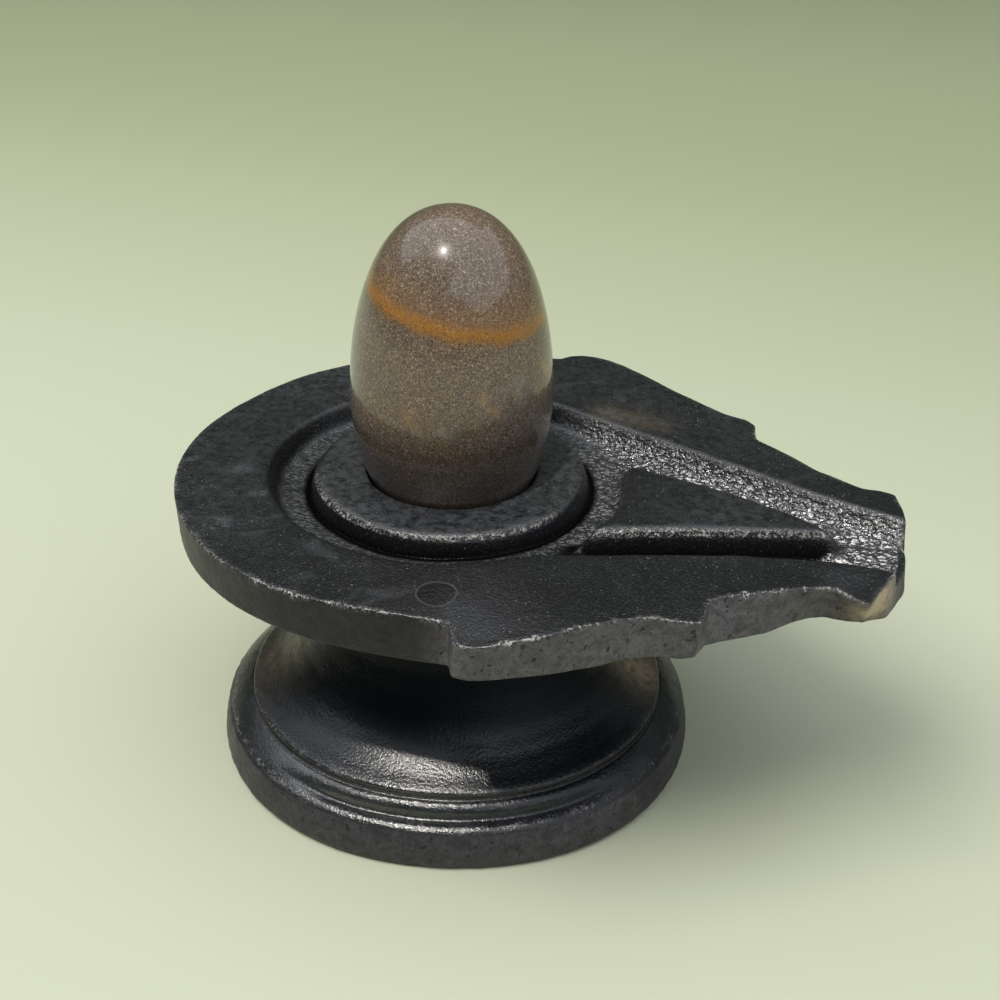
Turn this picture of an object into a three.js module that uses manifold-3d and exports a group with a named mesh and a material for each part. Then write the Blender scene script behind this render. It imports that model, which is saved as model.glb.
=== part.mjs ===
// A polished egg-shaped river stone standing in the socket of a small carved stone base.
// The base is one block: a round plate with a ring gutter and a drain spout, a waist and a foot.
// Millimetres. +Z is up and +X runs along the spout. The origin is on the table, below the
// middle of the ring gutter.

import * as THREE from "three";
import { mergeVertices } from "three/addons/utils/BufferGeometryUtils.js";
import Module from "manifold-3d";

// ---- driving dimensions -------------------------------------------------------------------

// standing stone
const STONE_RADIUS = 20.6;
const STONE_WAIST_Z = 76.2;
const STONE_TOP_Z = 116.6;
const STONE_BOTTOM_Z = 40.0;
const STONE_UPPER_POWER = 2.217;
const STONE_LOWER_POWER = 1.7;
const STONE_CENTRE = [0.2, 0.3];
const STONE_SIDES = 48;
const STONE_ROWS = 13;
const SEAT_GAP = 0.3;

// plate
const PLATE_RADIUS = 56.0;
const PLATE_TOP_Z = 61.1;
const PLATE_UNDER_Z = 51.5;
const PLATE_EDGE_ROUND = 0.5;
const PLATE_ARC_FROM = 112;
const PLATE_ARC_TO = 291;
const PLATE_ARC_STEPS = 44;

// ring gutter and the collar it leaves round the stone
const GUTTER_FLOOR_Z = 56.6;
const GUTTER_OUTER_RADIUS = 37.6;
const GUTTER_FLOOR_OUTER_RADIUS = 35.0;
const GUTTER_FLOOR_INNER_RADIUS = 29.2;
const COLLAR_RADIUS = 28.7;
const COLLAR_TOP_Z = 60.8;
const CHANNEL_FLOOR_ROUND = 1.4;

// foot, a low ring with a flared bell above it
const FOOT_CENTRE = [2.7, -2.7];
const FOOT_RADIUS = 51.0;
const BELL_RIM_RADIUS = 44.5;
const BELL_RIM_Z = 11.1;
const WAIST_RADIUS = 27.5;
const WAIST_Z = 35.0;
const UNDERSIDE_FLARE_RADIUS = 38.0;
const TURN_SIDES = 72;

// the spout's front corner is ground away towards its lower edge
const CORNER_AT = [88.9, -20.4];
const CORNER_REACH = 14;
const CORNER_UNDERCUT = [-1.2, 6.6];

// above this height there is only air over the plate
const CLEAR_Z = 66.0;

// ---- plan of the plate: the disc runs into a tapering spout with stepped sides ---------------

const SPOUT_FRONT = [
  [20.2, -52.6],
  [22.7, -57.1],
  [29.2, -56.2],
  [33.6, -53.9],
  [41.4, -47.8],
  [46.0, -43.6],
  [53.7, -38.9],
  [61.8, -36.9],
  [61.6, -30.4],
  [63.8, -28.0],
  [71.3, -23.9],
  [79.7, -18.3],
  [82.0, -17.1],
  [84.2, -18.2],
  [88.9, -20.4],
];
const SPOUT_END = [
  [91.8, -8.6],
  [93.2, 0.0],
  [92.3, 6.0],
  [90.4, 15.5],
  [88.6, 21.5],
];
const SPOUT_BACK = [
  [82.1, 21.8],
  [79.1, 23.2],
  [72.7, 26.1],
  [65.9, 30.8],
  [57.6, 35.5],
  [56.2, 42.4],
  [53.5, 44.7],
  [48.5, 45.6],
  [41.7, 49.3],
  [31.4, 55.5],
  [24.9, 59.7],
  [20.3, 62.6],
  [16.4, 64.6],
  [9.3, 65.2],
  [5.0, 61.2],
  [-7.0, 59.3],
];

// inner edges of the two spout walls, from the ring gutter out past the spout's end
const FRONT_WALL_INSIDE = [
  [25.0, -27.0],
  [36.9, -23.2],
  [49.7, -18.2],
  [62.5, -13.5],
  [71.2, -11.0],
  [80.4, -8.7],
  [97.0, -8.0],
];
const BACK_WALL_INSIDE = [
  [97.0, 9.0],
  [86.3, 12.8],
  [71.7, 16.6],
  [61.0, 20.3],
  [20.3, 33.5],
  [13.0, 33.0],
];
// the raised tongue between the two channels; its inner end lies inside the ring gutter
const TONGUE = [
  [34.8, 0.0],
  [33.8, 8.0],
  [31.6, 14.9],
  [47.9, 12.9],
  [58.8, 10.6],
  [69.5, 7.2],
  [74.5, 4.4],
  [78.3, 0.0],
  [76.0, -0.6],
  [65.3, -3.0],
  [47.2, -9.6],
  [31.8, -14.6],
  [33.8, -8.0],
];
const CHANNEL_ROOT_RADIUS = 30.2;

// ---- solids ---------------------------------------------------------------------------------

const wasm = await Module();
wasm.setup();

function solidFrom(geometry) {
  const bare = geometry.clone();
  bare.deleteAttribute("normal");
  bare.deleteAttribute("uv");
  const merged = mergeVertices(bare, 1e-4);
  const corners = merged.index.array;
  const kept = [];
  for (let i = 0; i < corners.length; i += 3) {
    const [a, b, c] = corners.slice(i, i + 3);
    // a turned outline leaves triangles with no area where it meets the axis
    if (a !== b && b !== c && c !== a) {
      kept.push(a, b, c);
    }
  }
  return new wasm.Manifold(new wasm.Mesh({
    numProp: 3,
    vertProperties: new Float32Array(merged.attributes.position.array),
    triVerts: new Uint32Array(kept),
  }));
}

function geometryFrom(solid) {
  const mesh = solid.getMesh();
  const geometry = new THREE.BufferGeometry();
  geometry.setAttribute("position", new THREE.BufferAttribute(mesh.vertProperties, 3));
  geometry.setIndex(new THREE.BufferAttribute(mesh.triVerts, 1));
  geometry.computeVertexNormals();
  return geometry;
}

// a closed [radius, z] outline turned about +Z; the outline runs anticlockwise
function turned(outline, sides, centre = [0, 0]) {
  const points = outline.map(([radius, z]) => new THREE.Vector2(radius, z));
  const geometry = new THREE.LatheGeometry(points, sides);
  geometry.rotateX(Math.PI / 2);
  geometry.translate(centre[0], centre[1], 0);
  return geometry;
}

function outlineShape(points) {
  return new THREE.Shape(points.map(([x, y]) => new THREE.Vector2(x, y)));
}

function arcPoints(radius, fromDegrees, toDegrees, steps) {
  const points = [];
  for (let i = 0; i <= steps; i += 1) {
    const angle = THREE.MathUtils.degToRad(fromDegrees + (toDegrees - fromDegrees) * i / steps);
    points.push([radius * Math.cos(angle), radius * Math.sin(angle)]);
  }
  return points;
}

// radius of the standing stone at height z, an egg of revolution with a blunter top
function stoneRadius(z) {
  const upper = z >= STONE_WAIST_Z;
  const reach = upper ? STONE_TOP_Z - STONE_WAIST_Z : STONE_WAIST_Z - STONE_BOTTOM_Z;
  const power = upper ? STONE_UPPER_POWER : STONE_LOWER_POWER;
  const along = Math.min(1, Math.abs(z - STONE_WAIST_Z) / reach);
  return STONE_RADIUS * Math.pow(1 - Math.pow(along, power), 1 / power);
}

// the stone's side from bottom to top, with rows crowded towards both ends
function stoneSide() {
  const side = [];
  for (let i = -STONE_ROWS; i <= STONE_ROWS; i += 1) {
    const along = Math.sin((Math.PI / 2) * i / STONE_ROWS);
    const reach = along < 0 ? STONE_WAIST_Z - STONE_BOTTOM_Z : STONE_TOP_Z - STONE_WAIST_Z;
    const z = STONE_WAIST_Z + along * reach;
    side.push([stoneRadius(z), z]);
  }
  side[0][0] = 0;
  side[side.length - 1][0] = 0;
  return side;
}

// ---- standing stone ---------------------------------------------------------------------------

const stone = solidFrom(turned(stoneSide(), STONE_SIDES, STONE_CENTRE));

// ---- base ---------------------------------------------------------------------------------------

const plateOutline = [
  ...arcPoints(PLATE_RADIUS, PLATE_ARC_FROM, PLATE_ARC_TO, PLATE_ARC_STEPS),
  ...SPOUT_FRONT,
  ...SPOUT_END,
  ...SPOUT_BACK,
];
const plateGeometry = new THREE.ExtrudeGeometry(outlineShape(plateOutline), {
  depth: PLATE_TOP_Z - PLATE_UNDER_Z - 2 * PLATE_EDGE_ROUND,
  bevelEnabled: true,
  bevelThickness: PLATE_EDGE_ROUND,
  bevelSize: PLATE_EDGE_ROUND,
  bevelOffset: -PLATE_EDGE_ROUND,
  bevelSegments: 1,
});
plateGeometry.translate(0, 0, PLATE_UNDER_Z + PLATE_EDGE_ROUND);
const platePoints = plateGeometry.attributes.position;
for (let i = 0; i < platePoints.count; i += 1) {
  const [x, y] = [platePoints.getX(i), platePoints.getY(i)];
  const share = 1 - Math.hypot(x - CORNER_AT[0], y - CORNER_AT[1]) / CORNER_REACH;
  if (platePoints.getZ(i) < PLATE_UNDER_Z + 2 * PLATE_EDGE_ROUND && share > 0) {
    platePoints.setXY(i, x + CORNER_UNDERCUT[0] * share, y + CORNER_UNDERCUT[1] * share);
  }
}

const pedestalOutline = [
  [0, 0],
  [FOOT_RADIUS - 0.6, 0],
  [FOOT_RADIUS, 0.7],
  [FOOT_RADIUS, 3.0],
  [FOOT_RADIUS - 0.5, 4.9],
  [FOOT_RADIUS - 1.2, 6.6],
  [FOOT_RADIUS - 2.1, 7.4],
  [FOOT_RADIUS - 3.2, 7.6],
  [FOOT_RADIUS - 4.4, 7.6],
  [FOOT_RADIUS - 5.0, 8.4],
  [FOOT_RADIUS - 5.6, 9.8],
  [BELL_RIM_RADIUS + 0.3, 9.8],
  [BELL_RIM_RADIUS, BELL_RIM_Z],
  [41.4, 13.0],
  [38.4, 15.2],
  [35.6, 17.9],
  [33.0, 21.4],
  [30.7, 25.5],
  [28.7, 30.0],
  [WAIST_RADIUS, WAIST_Z],
  [28.2, 40.0],
  [30.4, 44.4],
  [33.8, 48.2],
  [UNDERSIDE_FLARE_RADIUS, PLATE_UNDER_Z - 0.6],
  [UNDERSIDE_FLARE_RADIUS, PLATE_UNDER_Z + 2],
  [0, PLATE_UNDER_Z + 2],
];
const pedestal = turned(pedestalOutline, TURN_SIDES, FOOT_CENTRE);

const gutterOutline = [
  [COLLAR_RADIUS - 0.6, CLEAR_Z],
  [COLLAR_RADIUS - 0.6, COLLAR_TOP_Z - 0.1],
  [COLLAR_RADIUS, COLLAR_TOP_Z - 0.8],
  [COLLAR_RADIUS, GUTTER_FLOOR_Z + 0.6],
  [GUTTER_FLOOR_INNER_RADIUS, GUTTER_FLOOR_Z],
  [GUTTER_FLOOR_OUTER_RADIUS, GUTTER_FLOOR_Z],
  [36.4, GUTTER_FLOOR_Z + 1.0],
  [37.2, GUTTER_FLOOR_Z + 2.8],
  [GUTTER_OUTER_RADIUS, PLATE_TOP_Z],
  [GUTTER_OUTER_RADIUS, CLEAR_Z],
  [COLLAR_RADIUS - 0.6, CLEAR_Z],
];
const gutter = turned(gutterOutline, TURN_SIDES);

const collarTopOutline = [
  [0, COLLAR_TOP_Z],
  [COLLAR_RADIUS, COLLAR_TOP_Z],
  [COLLAR_RADIUS, CLEAR_Z],
  [0, CLEAR_Z],
];
const collarTop = turned(collarTopOutline, TURN_SIDES);

// the socket is the stone's own lower end, grown by the seat gap and opened upwards
const socketOutline = [[0, STONE_BOTTOM_Z - SEAT_GAP]];
for (const [radius, z] of stoneSide()) {
  if (radius > 0 && z < PLATE_TOP_Z) {
    socketOutline.push([radius + SEAT_GAP * 1.15, z - SEAT_GAP * 0.6]);
  }
}
const socketMouth = stoneRadius(COLLAR_TOP_Z) + SEAT_GAP * 1.2;
socketOutline.push([socketMouth, COLLAR_TOP_Z - 0.5]);
socketOutline.push([socketMouth + 0.7, COLLAR_TOP_Z + 0.1]);
socketOutline.push([socketMouth + 0.7, CLEAR_Z]);
socketOutline.push([0, CLEAR_Z]);
const socket = turned(socketOutline, STONE_SIDES, STONE_CENTRE);

const channelShape = outlineShape([
  ...FRONT_WALL_INSIDE,
  ...BACK_WALL_INSIDE,
  ...arcPoints(CHANNEL_ROOT_RADIUS, 62, -42, 10),
]);
channelShape.holes.push(new THREE.Path(TONGUE.map(([x, y]) => new THREE.Vector2(x, y))));
const channelGeometry = new THREE.ExtrudeGeometry(channelShape, {
  depth: CLEAR_Z - GUTTER_FLOOR_Z - 2 * CHANNEL_FLOOR_ROUND,
  bevelEnabled: true,
  bevelThickness: CHANNEL_FLOOR_ROUND,
  bevelSize: CHANNEL_FLOOR_ROUND,
  bevelOffset: -CHANNEL_FLOOR_ROUND,
  bevelSegments: 2,
});
channelGeometry.translate(0, 0, GUTTER_FLOOR_Z + CHANNEL_FLOOR_ROUND);

const base = solidFrom(plateGeometry)
  .add(solidFrom(pedestal))
  .subtract(solidFrom(collarTop))
  .subtract(solidFrom(gutter))
  .subtract(solidFrom(channelGeometry))
  .subtract(solidFrom(socket));

// ---- scene graph --------------------------------------------------------------------------------

const object = new THREE.Group();

const baseMesh = new THREE.Mesh(
  geometryFrom(base),
  new THREE.MeshStandardMaterial({ color: 0x2b2d2e, roughness: 0.5, metalness: 0 }),
);
baseMesh.name = "yoni_base";
object.add(baseMesh);

const stoneMesh = new THREE.Mesh(
  geometryFrom(stone),
  new THREE.MeshStandardMaterial({ color: 0x6f5a48, roughness: 0.15, metalness: 0 }),
);
stoneMesh.name = "lingam_stone";
object.add(stoneMesh);

export default object;
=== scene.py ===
# %% [markdown]
# # A polished river stone standing in a carved stone base
#
# Two things are made here. The base is one block of dark stone: a round plate with a ring
# gutter and a drain spout, a narrow waist and a moulded foot. The standing stone is an
# egg-shaped pebble, ground and polished until it shines, with one rusty band through it.
# Everything is a numpy surface in millimetres, which is turned into metres when it becomes a
# mesh. The frame comes first, because every size in it is already settled.

import bpy
import numpy as np
from mathutils import Matrix, Vector


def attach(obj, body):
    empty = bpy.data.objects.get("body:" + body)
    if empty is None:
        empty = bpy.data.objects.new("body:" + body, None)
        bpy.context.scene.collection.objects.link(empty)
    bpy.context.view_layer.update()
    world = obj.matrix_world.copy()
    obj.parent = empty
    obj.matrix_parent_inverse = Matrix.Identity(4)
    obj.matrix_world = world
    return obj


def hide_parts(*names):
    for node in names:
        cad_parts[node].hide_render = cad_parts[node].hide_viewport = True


MM = 0.001
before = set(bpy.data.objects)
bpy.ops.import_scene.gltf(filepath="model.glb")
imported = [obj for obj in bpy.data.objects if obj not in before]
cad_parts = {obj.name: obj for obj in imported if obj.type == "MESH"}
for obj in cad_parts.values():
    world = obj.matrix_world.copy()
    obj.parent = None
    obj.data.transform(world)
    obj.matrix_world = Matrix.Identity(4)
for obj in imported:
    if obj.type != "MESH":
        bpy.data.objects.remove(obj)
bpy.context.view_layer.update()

# %% [markdown]
# ## Unevenness that repeats the same way each time
#
# Hand-ground stone is never quite flat. Adding up many cosine waves that run in random
# directions gives a soft unevenness at any size. It is a plain function of the place, so two
# surfaces that share an edge still meet there. A seed fixes the random directions.


# %% A soft unevenness
def ripple(points, size, seed, waves=28):
    """Sum of plane cosine waves in random directions, with wavelengths of 0.6 to 1.6 times
    `size`, scaled so that most values lie between -1 and 1. points is (..., 3), in mm."""
    rng = np.random.default_rng(seed)
    heading = rng.normal(size=(waves, 3))
    heading /= np.linalg.norm(heading, axis=1, keepdims=True)
    turns = 2 * np.pi / (size * rng.uniform(0.6, 1.6, waves))
    phase = rng.uniform(0, 2 * np.pi, waves)
    flat = points.reshape(-1, 3) @ (heading * turns[:, None]).T + phase
    total = np.cos(flat).sum(axis=1) / np.sqrt(waves)
    return total.reshape(points.shape[:-1])


def ease(value, low, high):
    """0 below `low`, 1 above `high`, with a smooth S between them."""
    t = np.clip((value - low) / (high - low), 0, 1)
    return t * t * (3 - 2 * t)


def near(value, middle, width):
    """1 at `middle`, falling off on both sides as a bell curve of the given width."""
    return np.exp(-0.5 * ((value - middle) / width) ** 2)


def bump_at(points, centre, reach):
    """A round hill, 1 at `centre`, falling off with distance like a bell curve of size `reach`."""
    gap = points[..., : len(centre)] - np.asarray(centre)
    return np.exp(-0.5 * (gap**2).sum(axis=-1) / reach**2)


def hills(points, table):
    """The table's round hills added up; each row is a place, a reach and a height."""
    return sum(height * bump_at(points, at, reach) for at, reach, height in table)


print("unevenness at the origin:", ripple(np.zeros((1, 3)), 24, 21).round(3))

# %% [markdown]
# ## From a grid of points to a mesh
#
# Each surface is a grid: rows run along the shape's profile and columns run round it. Square
# faces join neighbours, and the last column joins the first, so the seam is closed. A surface
# that ends on its own axis is closed with one point and a fan of triangles there.


# %% Grids and meshes
def grid_normals(grid):
    """Unit normals of a grid (rows, columns, 3) that wraps round in its columns: the cross
    product of the step to the next column and the step to the next row."""
    across = np.roll(grid, -1, axis=1) - np.roll(grid, 1, axis=1)
    along = np.gradient(grid, axis=0)
    normal = np.cross(across, along)
    return normal / np.maximum(np.linalg.norm(normal, axis=2, keepdims=True), 1e-9)


def mesh_piece(name, points, faces, values):
    """An object whose mesh has the given points (mm), faces and named numbers per point."""
    mesh = bpy.data.meshes.new(name)
    mesh.from_pydata((points * MM).tolist(), [], faces)
    mesh.polygons.foreach_set("use_smooth", np.ones(len(mesh.polygons), dtype=bool))
    for key, value in values.items():
        layer = mesh.attributes.new(key, "FLOAT", "POINT")
        layer.data.foreach_set("value", np.asarray(value, dtype=np.float32))
    mesh.update()
    piece = bpy.data.objects.new(name, mesh)
    bpy.context.scene.collection.objects.link(piece)
    print(name, len(points), "points,", sum(len(face) - 2 for face in faces), "triangles")
    return piece


# %% A closed grid as a mesh
def grid_mesh(name, grid, values, first_pole, last_pole):
    """A piece from a grid in mm. `values` are named numbers for each point, and a pole is the
    single point that closes the first or the last row."""
    rows, columns = grid.shape[:2]
    index = np.arange(rows * columns).reshape(rows, columns)
    beside = np.roll(index, -1, axis=1)
    quads = np.stack([index[:-1], beside[:-1], beside[1:], index[1:]], axis=-1).reshape(-1, 4)
    first, last = rows * columns, rows * columns + 1
    low_fan = np.stack([beside[0], index[0], np.full(columns, first)], axis=-1)
    high_fan = np.stack([index[-1], beside[-1], np.full(columns, last)], axis=-1)
    points = np.concatenate([grid.reshape(-1, 3), [first_pole], [last_pole]])
    ends = {key: [value[0].mean(), value[-1].mean()] for key, value in values.items()}
    numbers = {key: np.append(value.reshape(-1), ends[key]) for key, value in values.items()}
    faces = quads.tolist() + low_fan.tolist() + high_fan.tolist()
    return mesh_piece(name, points, faces, numbers)


# %% [markdown]
# ## The standing stone
#
# Such stones are picked from a river bed and ground by hand to an egg. A superellipse turned
# round the vertical axis gives that form: a power a little above 2 keeps the crown full, and a
# lower power below the middle draws the sides in towards the socket. Its rows are crowded
# towards both ends, where the surface turns fastest.

# %% The stone's form
STONE_RADIUS = 20.6
STONE_MIDDLE_Z = 76.2
STONE_TOP_Z = 116.55
STONE_BOTTOM_Z = 40.05
STONE_CROWN_POWER = 2.217
STONE_ROOT_POWER = 1.7
STONE_CENTRE = np.array([0.2, 0.3])
STONE_ROWS = 190
STONE_COLUMNS = 288
GRINDING = 0.05


def stone_radius(z):
    """Radius of the egg at height z: (r/R)^n + (|z - middle|/reach)^n = 1, where n and the
    reach differ above and below the middle."""
    above = z >= STONE_MIDDLE_Z
    reach = np.where(above, STONE_TOP_Z - STONE_MIDDLE_Z, STONE_MIDDLE_Z - STONE_BOTTOM_Z)
    power = np.where(above, STONE_CROWN_POWER, STONE_ROOT_POWER)
    along = np.clip(np.abs(z - STONE_MIDDLE_Z) / reach, 0, 1)
    return STONE_RADIUS * (1 - along**power) ** (1 / power)


def stone_surface():
    """Points (rows, columns, 3): the egg's radius turned about its axis, with a faint
    unevenness of a few hundredths of a millimetre from hand grinding."""
    bow = np.linspace(-np.pi / 2, np.pi / 2, STONE_ROWS + 2)[1:-1]
    low, high = STONE_MIDDLE_Z - STONE_BOTTOM_Z, STONE_TOP_Z - STONE_MIDDLE_Z
    z = STONE_MIDDLE_Z + np.sin(bow) * np.where(bow < 0, low, high)
    angle = np.linspace(0, 2 * np.pi, STONE_COLUMNS, endpoint=False)
    radius = stone_radius(z)[:, None] * np.ones(STONE_COLUMNS)
    grid = np.stack(
        [
            STONE_CENTRE[0] + radius * np.cos(angle),
            STONE_CENTRE[1] + radius * np.sin(angle),
            z[:, None] * np.ones(STONE_COLUMNS),
        ],
        axis=-1,
    )
    ground = GRINDING * (ripple(grid, 26, 11) - 1)
    return grid + grid_normals(grid) * ground[..., None]


print("stone:", round(STONE_TOP_Z - STONE_BOTTOM_Z, 2), "mm high,", 2 * STONE_RADIUS, "mm across")

# %% [markdown]
# The rusty band is a flat sheet of iron-stained stone that the surface cuts through, so on the
# egg it shows as a tilted ring. The mesh carries each point's distance from that sheet, and
# the material turns the distance into colour later. Lower down, the iron shows again in a few
# small spots, and the grain is paler round some of them.

# %% The stone's mesh
BAND_HEIGHT = 100.6
BAND_SLOPE = np.array([-0.21, 0.053])
# place on the stone, then the spot's reach and strength
IRON_SPOTS = [
    ((20.4, -1.0, 85.6), 2.1, 1.0),
    ((14.6, -14.2, 82.6), 1.1, 0.8),
    ((12.5, -15.8, 85.4), 0.9, 0.35),
    ((0.5, -20.2, 81.0), 2.2, 0.40),
    ((-7.0, -19.2, 80.5), 2.2, 0.28),
    ((-14.0, 15.0, 84.0), 2.4, 0.7),
]
PALE_SPOTS = [
    ((17.5, -9.9, 86.5), 1.5, 0.7),
    ((18.4, -8.8, 84.0), 1.0, 0.8),
    ((13.6, -15.2, 84.2), 1.3, 0.5),
    ((6.2, -19.4, 79.2), 1.1, 0.7),
    ((3.4, -20.0, 78.3), 0.8, 0.6),
    ((1.4, -20.2, 77.8), 0.9, 0.6),
    ((16.2, -12.6, 80.9), 1.2, 0.5),
]


def spots(place, table):
    """The strongest of the table's spots at each place; a spot fades out as a bell curve."""
    return np.max([amount * bump_at(place, at, reach) for at, reach, amount in table], axis=0)


stone_grid = stone_surface()
band = stone_grid[..., 2] - BAND_HEIGHT - stone_grid[..., :2] @ BAND_SLOPE
stone = grid_mesh(
    "standing_stone",
    stone_grid,
    {
        "band": band,
        "iron": spots(stone_grid, IRON_SPOTS),
        "pale": spots(stone_grid, PALE_SPOTS),
    },
    first_pole=(*STONE_CENTRE, STONE_BOTTOM_Z),
    last_pole=(*STONE_CENTRE, STONE_TOP_Z),
)

# %% [markdown]
# ## The plate's outline
#
# Seen from above, the plate is a disc that runs into a tapering spout. The carver stepped the
# spout's sides twice and left a small notch before the end. The outline is a list of corners
# joined by an arc. It is walked in short even steps and then averaged over a little more than
# half a millimetre, which rounds every corner as handling does.

# %% Corners of the outline
DISC_ANGLES = np.array([112, 137, 150, 168, 184, 200, 233, 255, 271, 291.0])
DISC_RADII = np.array([56.4, 56.6, 56.2, 55.8, 56.1, 56.5, 56.4, 56.0, 55.3, 56.0])

SPOUT_SIDES = np.array(
    [
        (20.3, -52.6), (22.6, -56.7), (25.5, -57.0), (29.0, -55.9), (33.4, -53.6), (37.8, -51.2),
        (41.4, -47.9), (45.4, -44.5), (47.4, -42.6), (53.7, -38.9), (58.4, -38.2), (61.8, -36.9),
        (61.5, -30.4), (63.8, -28.0), (68.1, -25.7), (71.3, -23.9), (76.1, -20.4), (79.7, -18.3),
        (82.0, -17.1), (84.2, -18.1), (86.4, -19.3), (88.7, -20.3), (92.0, -8.8), (93.3, -0.5),
        (93.0, 4.5), (91.9, 10.7), (90.6, 16.0), (88.5, 21.4), (85.8, 22.0), (82.1, 21.8),
        (79.1, 23.2), (72.7, 26.1), (65.9, 30.8), (57.5, 35.6), (56.4, 39.4), (55.9, 42.4),
        (53.5, 44.7), (48.5, 45.5), (41.7, 49.3), (31.4, 55.5), (24.9, 59.7), (20.3, 62.6),
        (16.4, 64.5), (12.6, 65.1), (9.3, 64.9), (6.4, 63.3), (4.6, 61.0), (-3.0, 59.6),
        (-12.0, 57.8),
    ]
)
OUTLINE_STEP = 0.2
CORNER_BLUR = 0.55
print("corners of the spout:", len(SPOUT_SIDES))


# %% Walking and rounding an outline
def walk(points, step):
    """Evenly spaced points along a path of corners: each coordinate is read off at equal
    steps of the distance walked so far."""
    walked = np.concatenate([[0], np.cumsum(np.hypot(*np.diff(points, axis=0).T))])
    places = np.linspace(0, walked[-1], int(walked[-1] / step) + 1)
    return np.stack([np.interp(places, walked, axis) for axis in points.T], axis=1)


def blurred(values, step, blur, loop):
    """A running average along the first axis with bell-curve weights of width `blur`."""
    reach = int(4 * blur / step)
    weights = np.exp(-0.5 * (np.arange(-reach, reach + 1) * step / blur) ** 2)
    weights /= weights.sum()
    mode = "wrap" if loop else "edge"
    padded = np.pad(values, ((reach, reach), (0, 0)), mode=mode)
    return np.stack([np.convolve(axis, weights, "valid") for axis in padded.T], axis=1)


disc_angle = np.radians(np.arange(DISC_ANGLES[0], DISC_ANGLES[-1] - 1, 2.0))
disc_radius = np.interp(np.degrees(disc_angle), DISC_ANGLES, DISC_RADII)
disc = np.stack([disc_radius * np.cos(disc_angle), disc_radius * np.sin(disc_angle)], axis=1)
corners = np.vstack([disc, SPOUT_SIDES, disc[:1]])
outline = blurred(walk(corners, OUTLINE_STEP)[:-1], OUTLINE_STEP, CORNER_BLUR, loop=True)
tangent = np.roll(outline, -1, axis=0) - np.roll(outline, 1, axis=0)
tangent /= np.hypot(*tangent.T)[:, None]
outward = np.stack([tangent[:, 1], -tangent[:, 0]], axis=1)
print("outline of", len(outline), "steps,", round(len(outline) * OUTLINE_STEP, 1), "mm round")

# %% [markdown]
# ## Gutter, channels and tongue
#
# What is poured over the stone runs round the collar in a ring gutter, then out through two
# channels that a raised tongue parts, and leaves by the spout. All of them are cut to nearly
# one depth; the front channel is a little deeper. The height of the plate's top is worked out
# point by point: each wall turns the distance from its top edge into a share of that depth,
# and the shares are combined.

# %% Levels and walls
PLATE_TOP_Z = 61.1
COLLAR_TOP_Z = 60.8
CUT_DEPTH = 4.5
FRONT_CHANNEL_EXTRA = 1.1
COLLAR_RADIUS = 28.7
GUTTER_RADIUS = 37.6

WALL_STEP = 0.5
wall_x = np.arange(0, 112, WALL_STEP)


def wall_line(points, blur=2.0):
    """A wall's plan as y for each x of wall_x, through the given points and then softened."""
    points = np.array(points)
    line = np.interp(wall_x, points[:, 0], points[:, 1])
    return blurred(line[:, None], WALL_STEP, blur, loop=False)[:, 0]


FRONT_WALL = wall_line(
    [(8, -36.4), (15, -34.6), (22, -30.7), (27, -27.2), (36.9, -23.2), (49.7, -18.2)]
    + [(62.5, -13.5), (71.2, -11.0), (80.4, -8.8), (96, -8.0)]
)
BACK_WALL = wall_line(
    [(4, 37.2), (10.8, 36.9), (15.5, 35.3), (20.3, 33.6), (61, 20.3), (71.7, 16.6)]
    + [(86.3, 12.7), (96, 10.4)]
)
TONGUE_FRONT = wall_line(
    [(28, -17.5), (47.2, -9.7), (65.3, -2.7), (74, 0.1), (79.3, 1.9), (110, 16)], 1.2
)
TONGUE_BACK = wall_line(
    [(28, 16.2), (47.9, 12.9), (58.8, 10.7), (69.5, 7.2), (75.0, 4.8), (77.6, 3.1)]
    + [(79.2, 0.9), (81, -3), (110, -60)],
    0.8,
)
print("walls reach from x =", wall_x[0], "to", wall_x[-1])

# %% How deep each place is cut
# a wall's width in mm, the power of its curve and the softness of its top edge
COLLAR_FALL = (1.0, 1.7, 0.40)
RING_FALL = (3.2, 2.1, 0.3)
FRONT_FALL = (1.2, 1.4, 0.16)
BACK_FALL = (4.2, 1.5, 0.3)
FIRST_FALL = (1.5, 1.5, 0.3)
EDGE_FALL = (2.0, 1.5, 0.3)
TONGUE_WIDTH, TIP_WIDTH = 1.3, 1.9
TONGUE_POWER, TONGUE_EDGE = 1.4, 0.4
TONGUE_CORNER = 0.5
# the channels start this far from the ring's middle, and at this x
CHANNEL_FROM_RADIUS = 30.6
CHANNEL_FROM_X = 5.5


def beyond(line, x, y, side):
    """Distance in mm from a wall's line, measured square to it: positive on the side of larger
    y for side 1, and of smaller y for side -1."""
    slope = np.interp(x, wall_x, np.gradient(line, wall_x))
    return side * (y - np.interp(x, wall_x, line)) / np.sqrt(1 + slope**2)


def fall(distance, width, power, edge):
    """Share of the full depth at a distance past a wall's top edge: 1 - (1 - d/width)^power,
    steep at the top and easing into the floor, with the top edge softened over `edge`."""
    soft = edge * np.logaddexp(0, distance / edge)
    return 1 - (1 - np.clip(soft / width, 0, 1)) ** power


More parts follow.
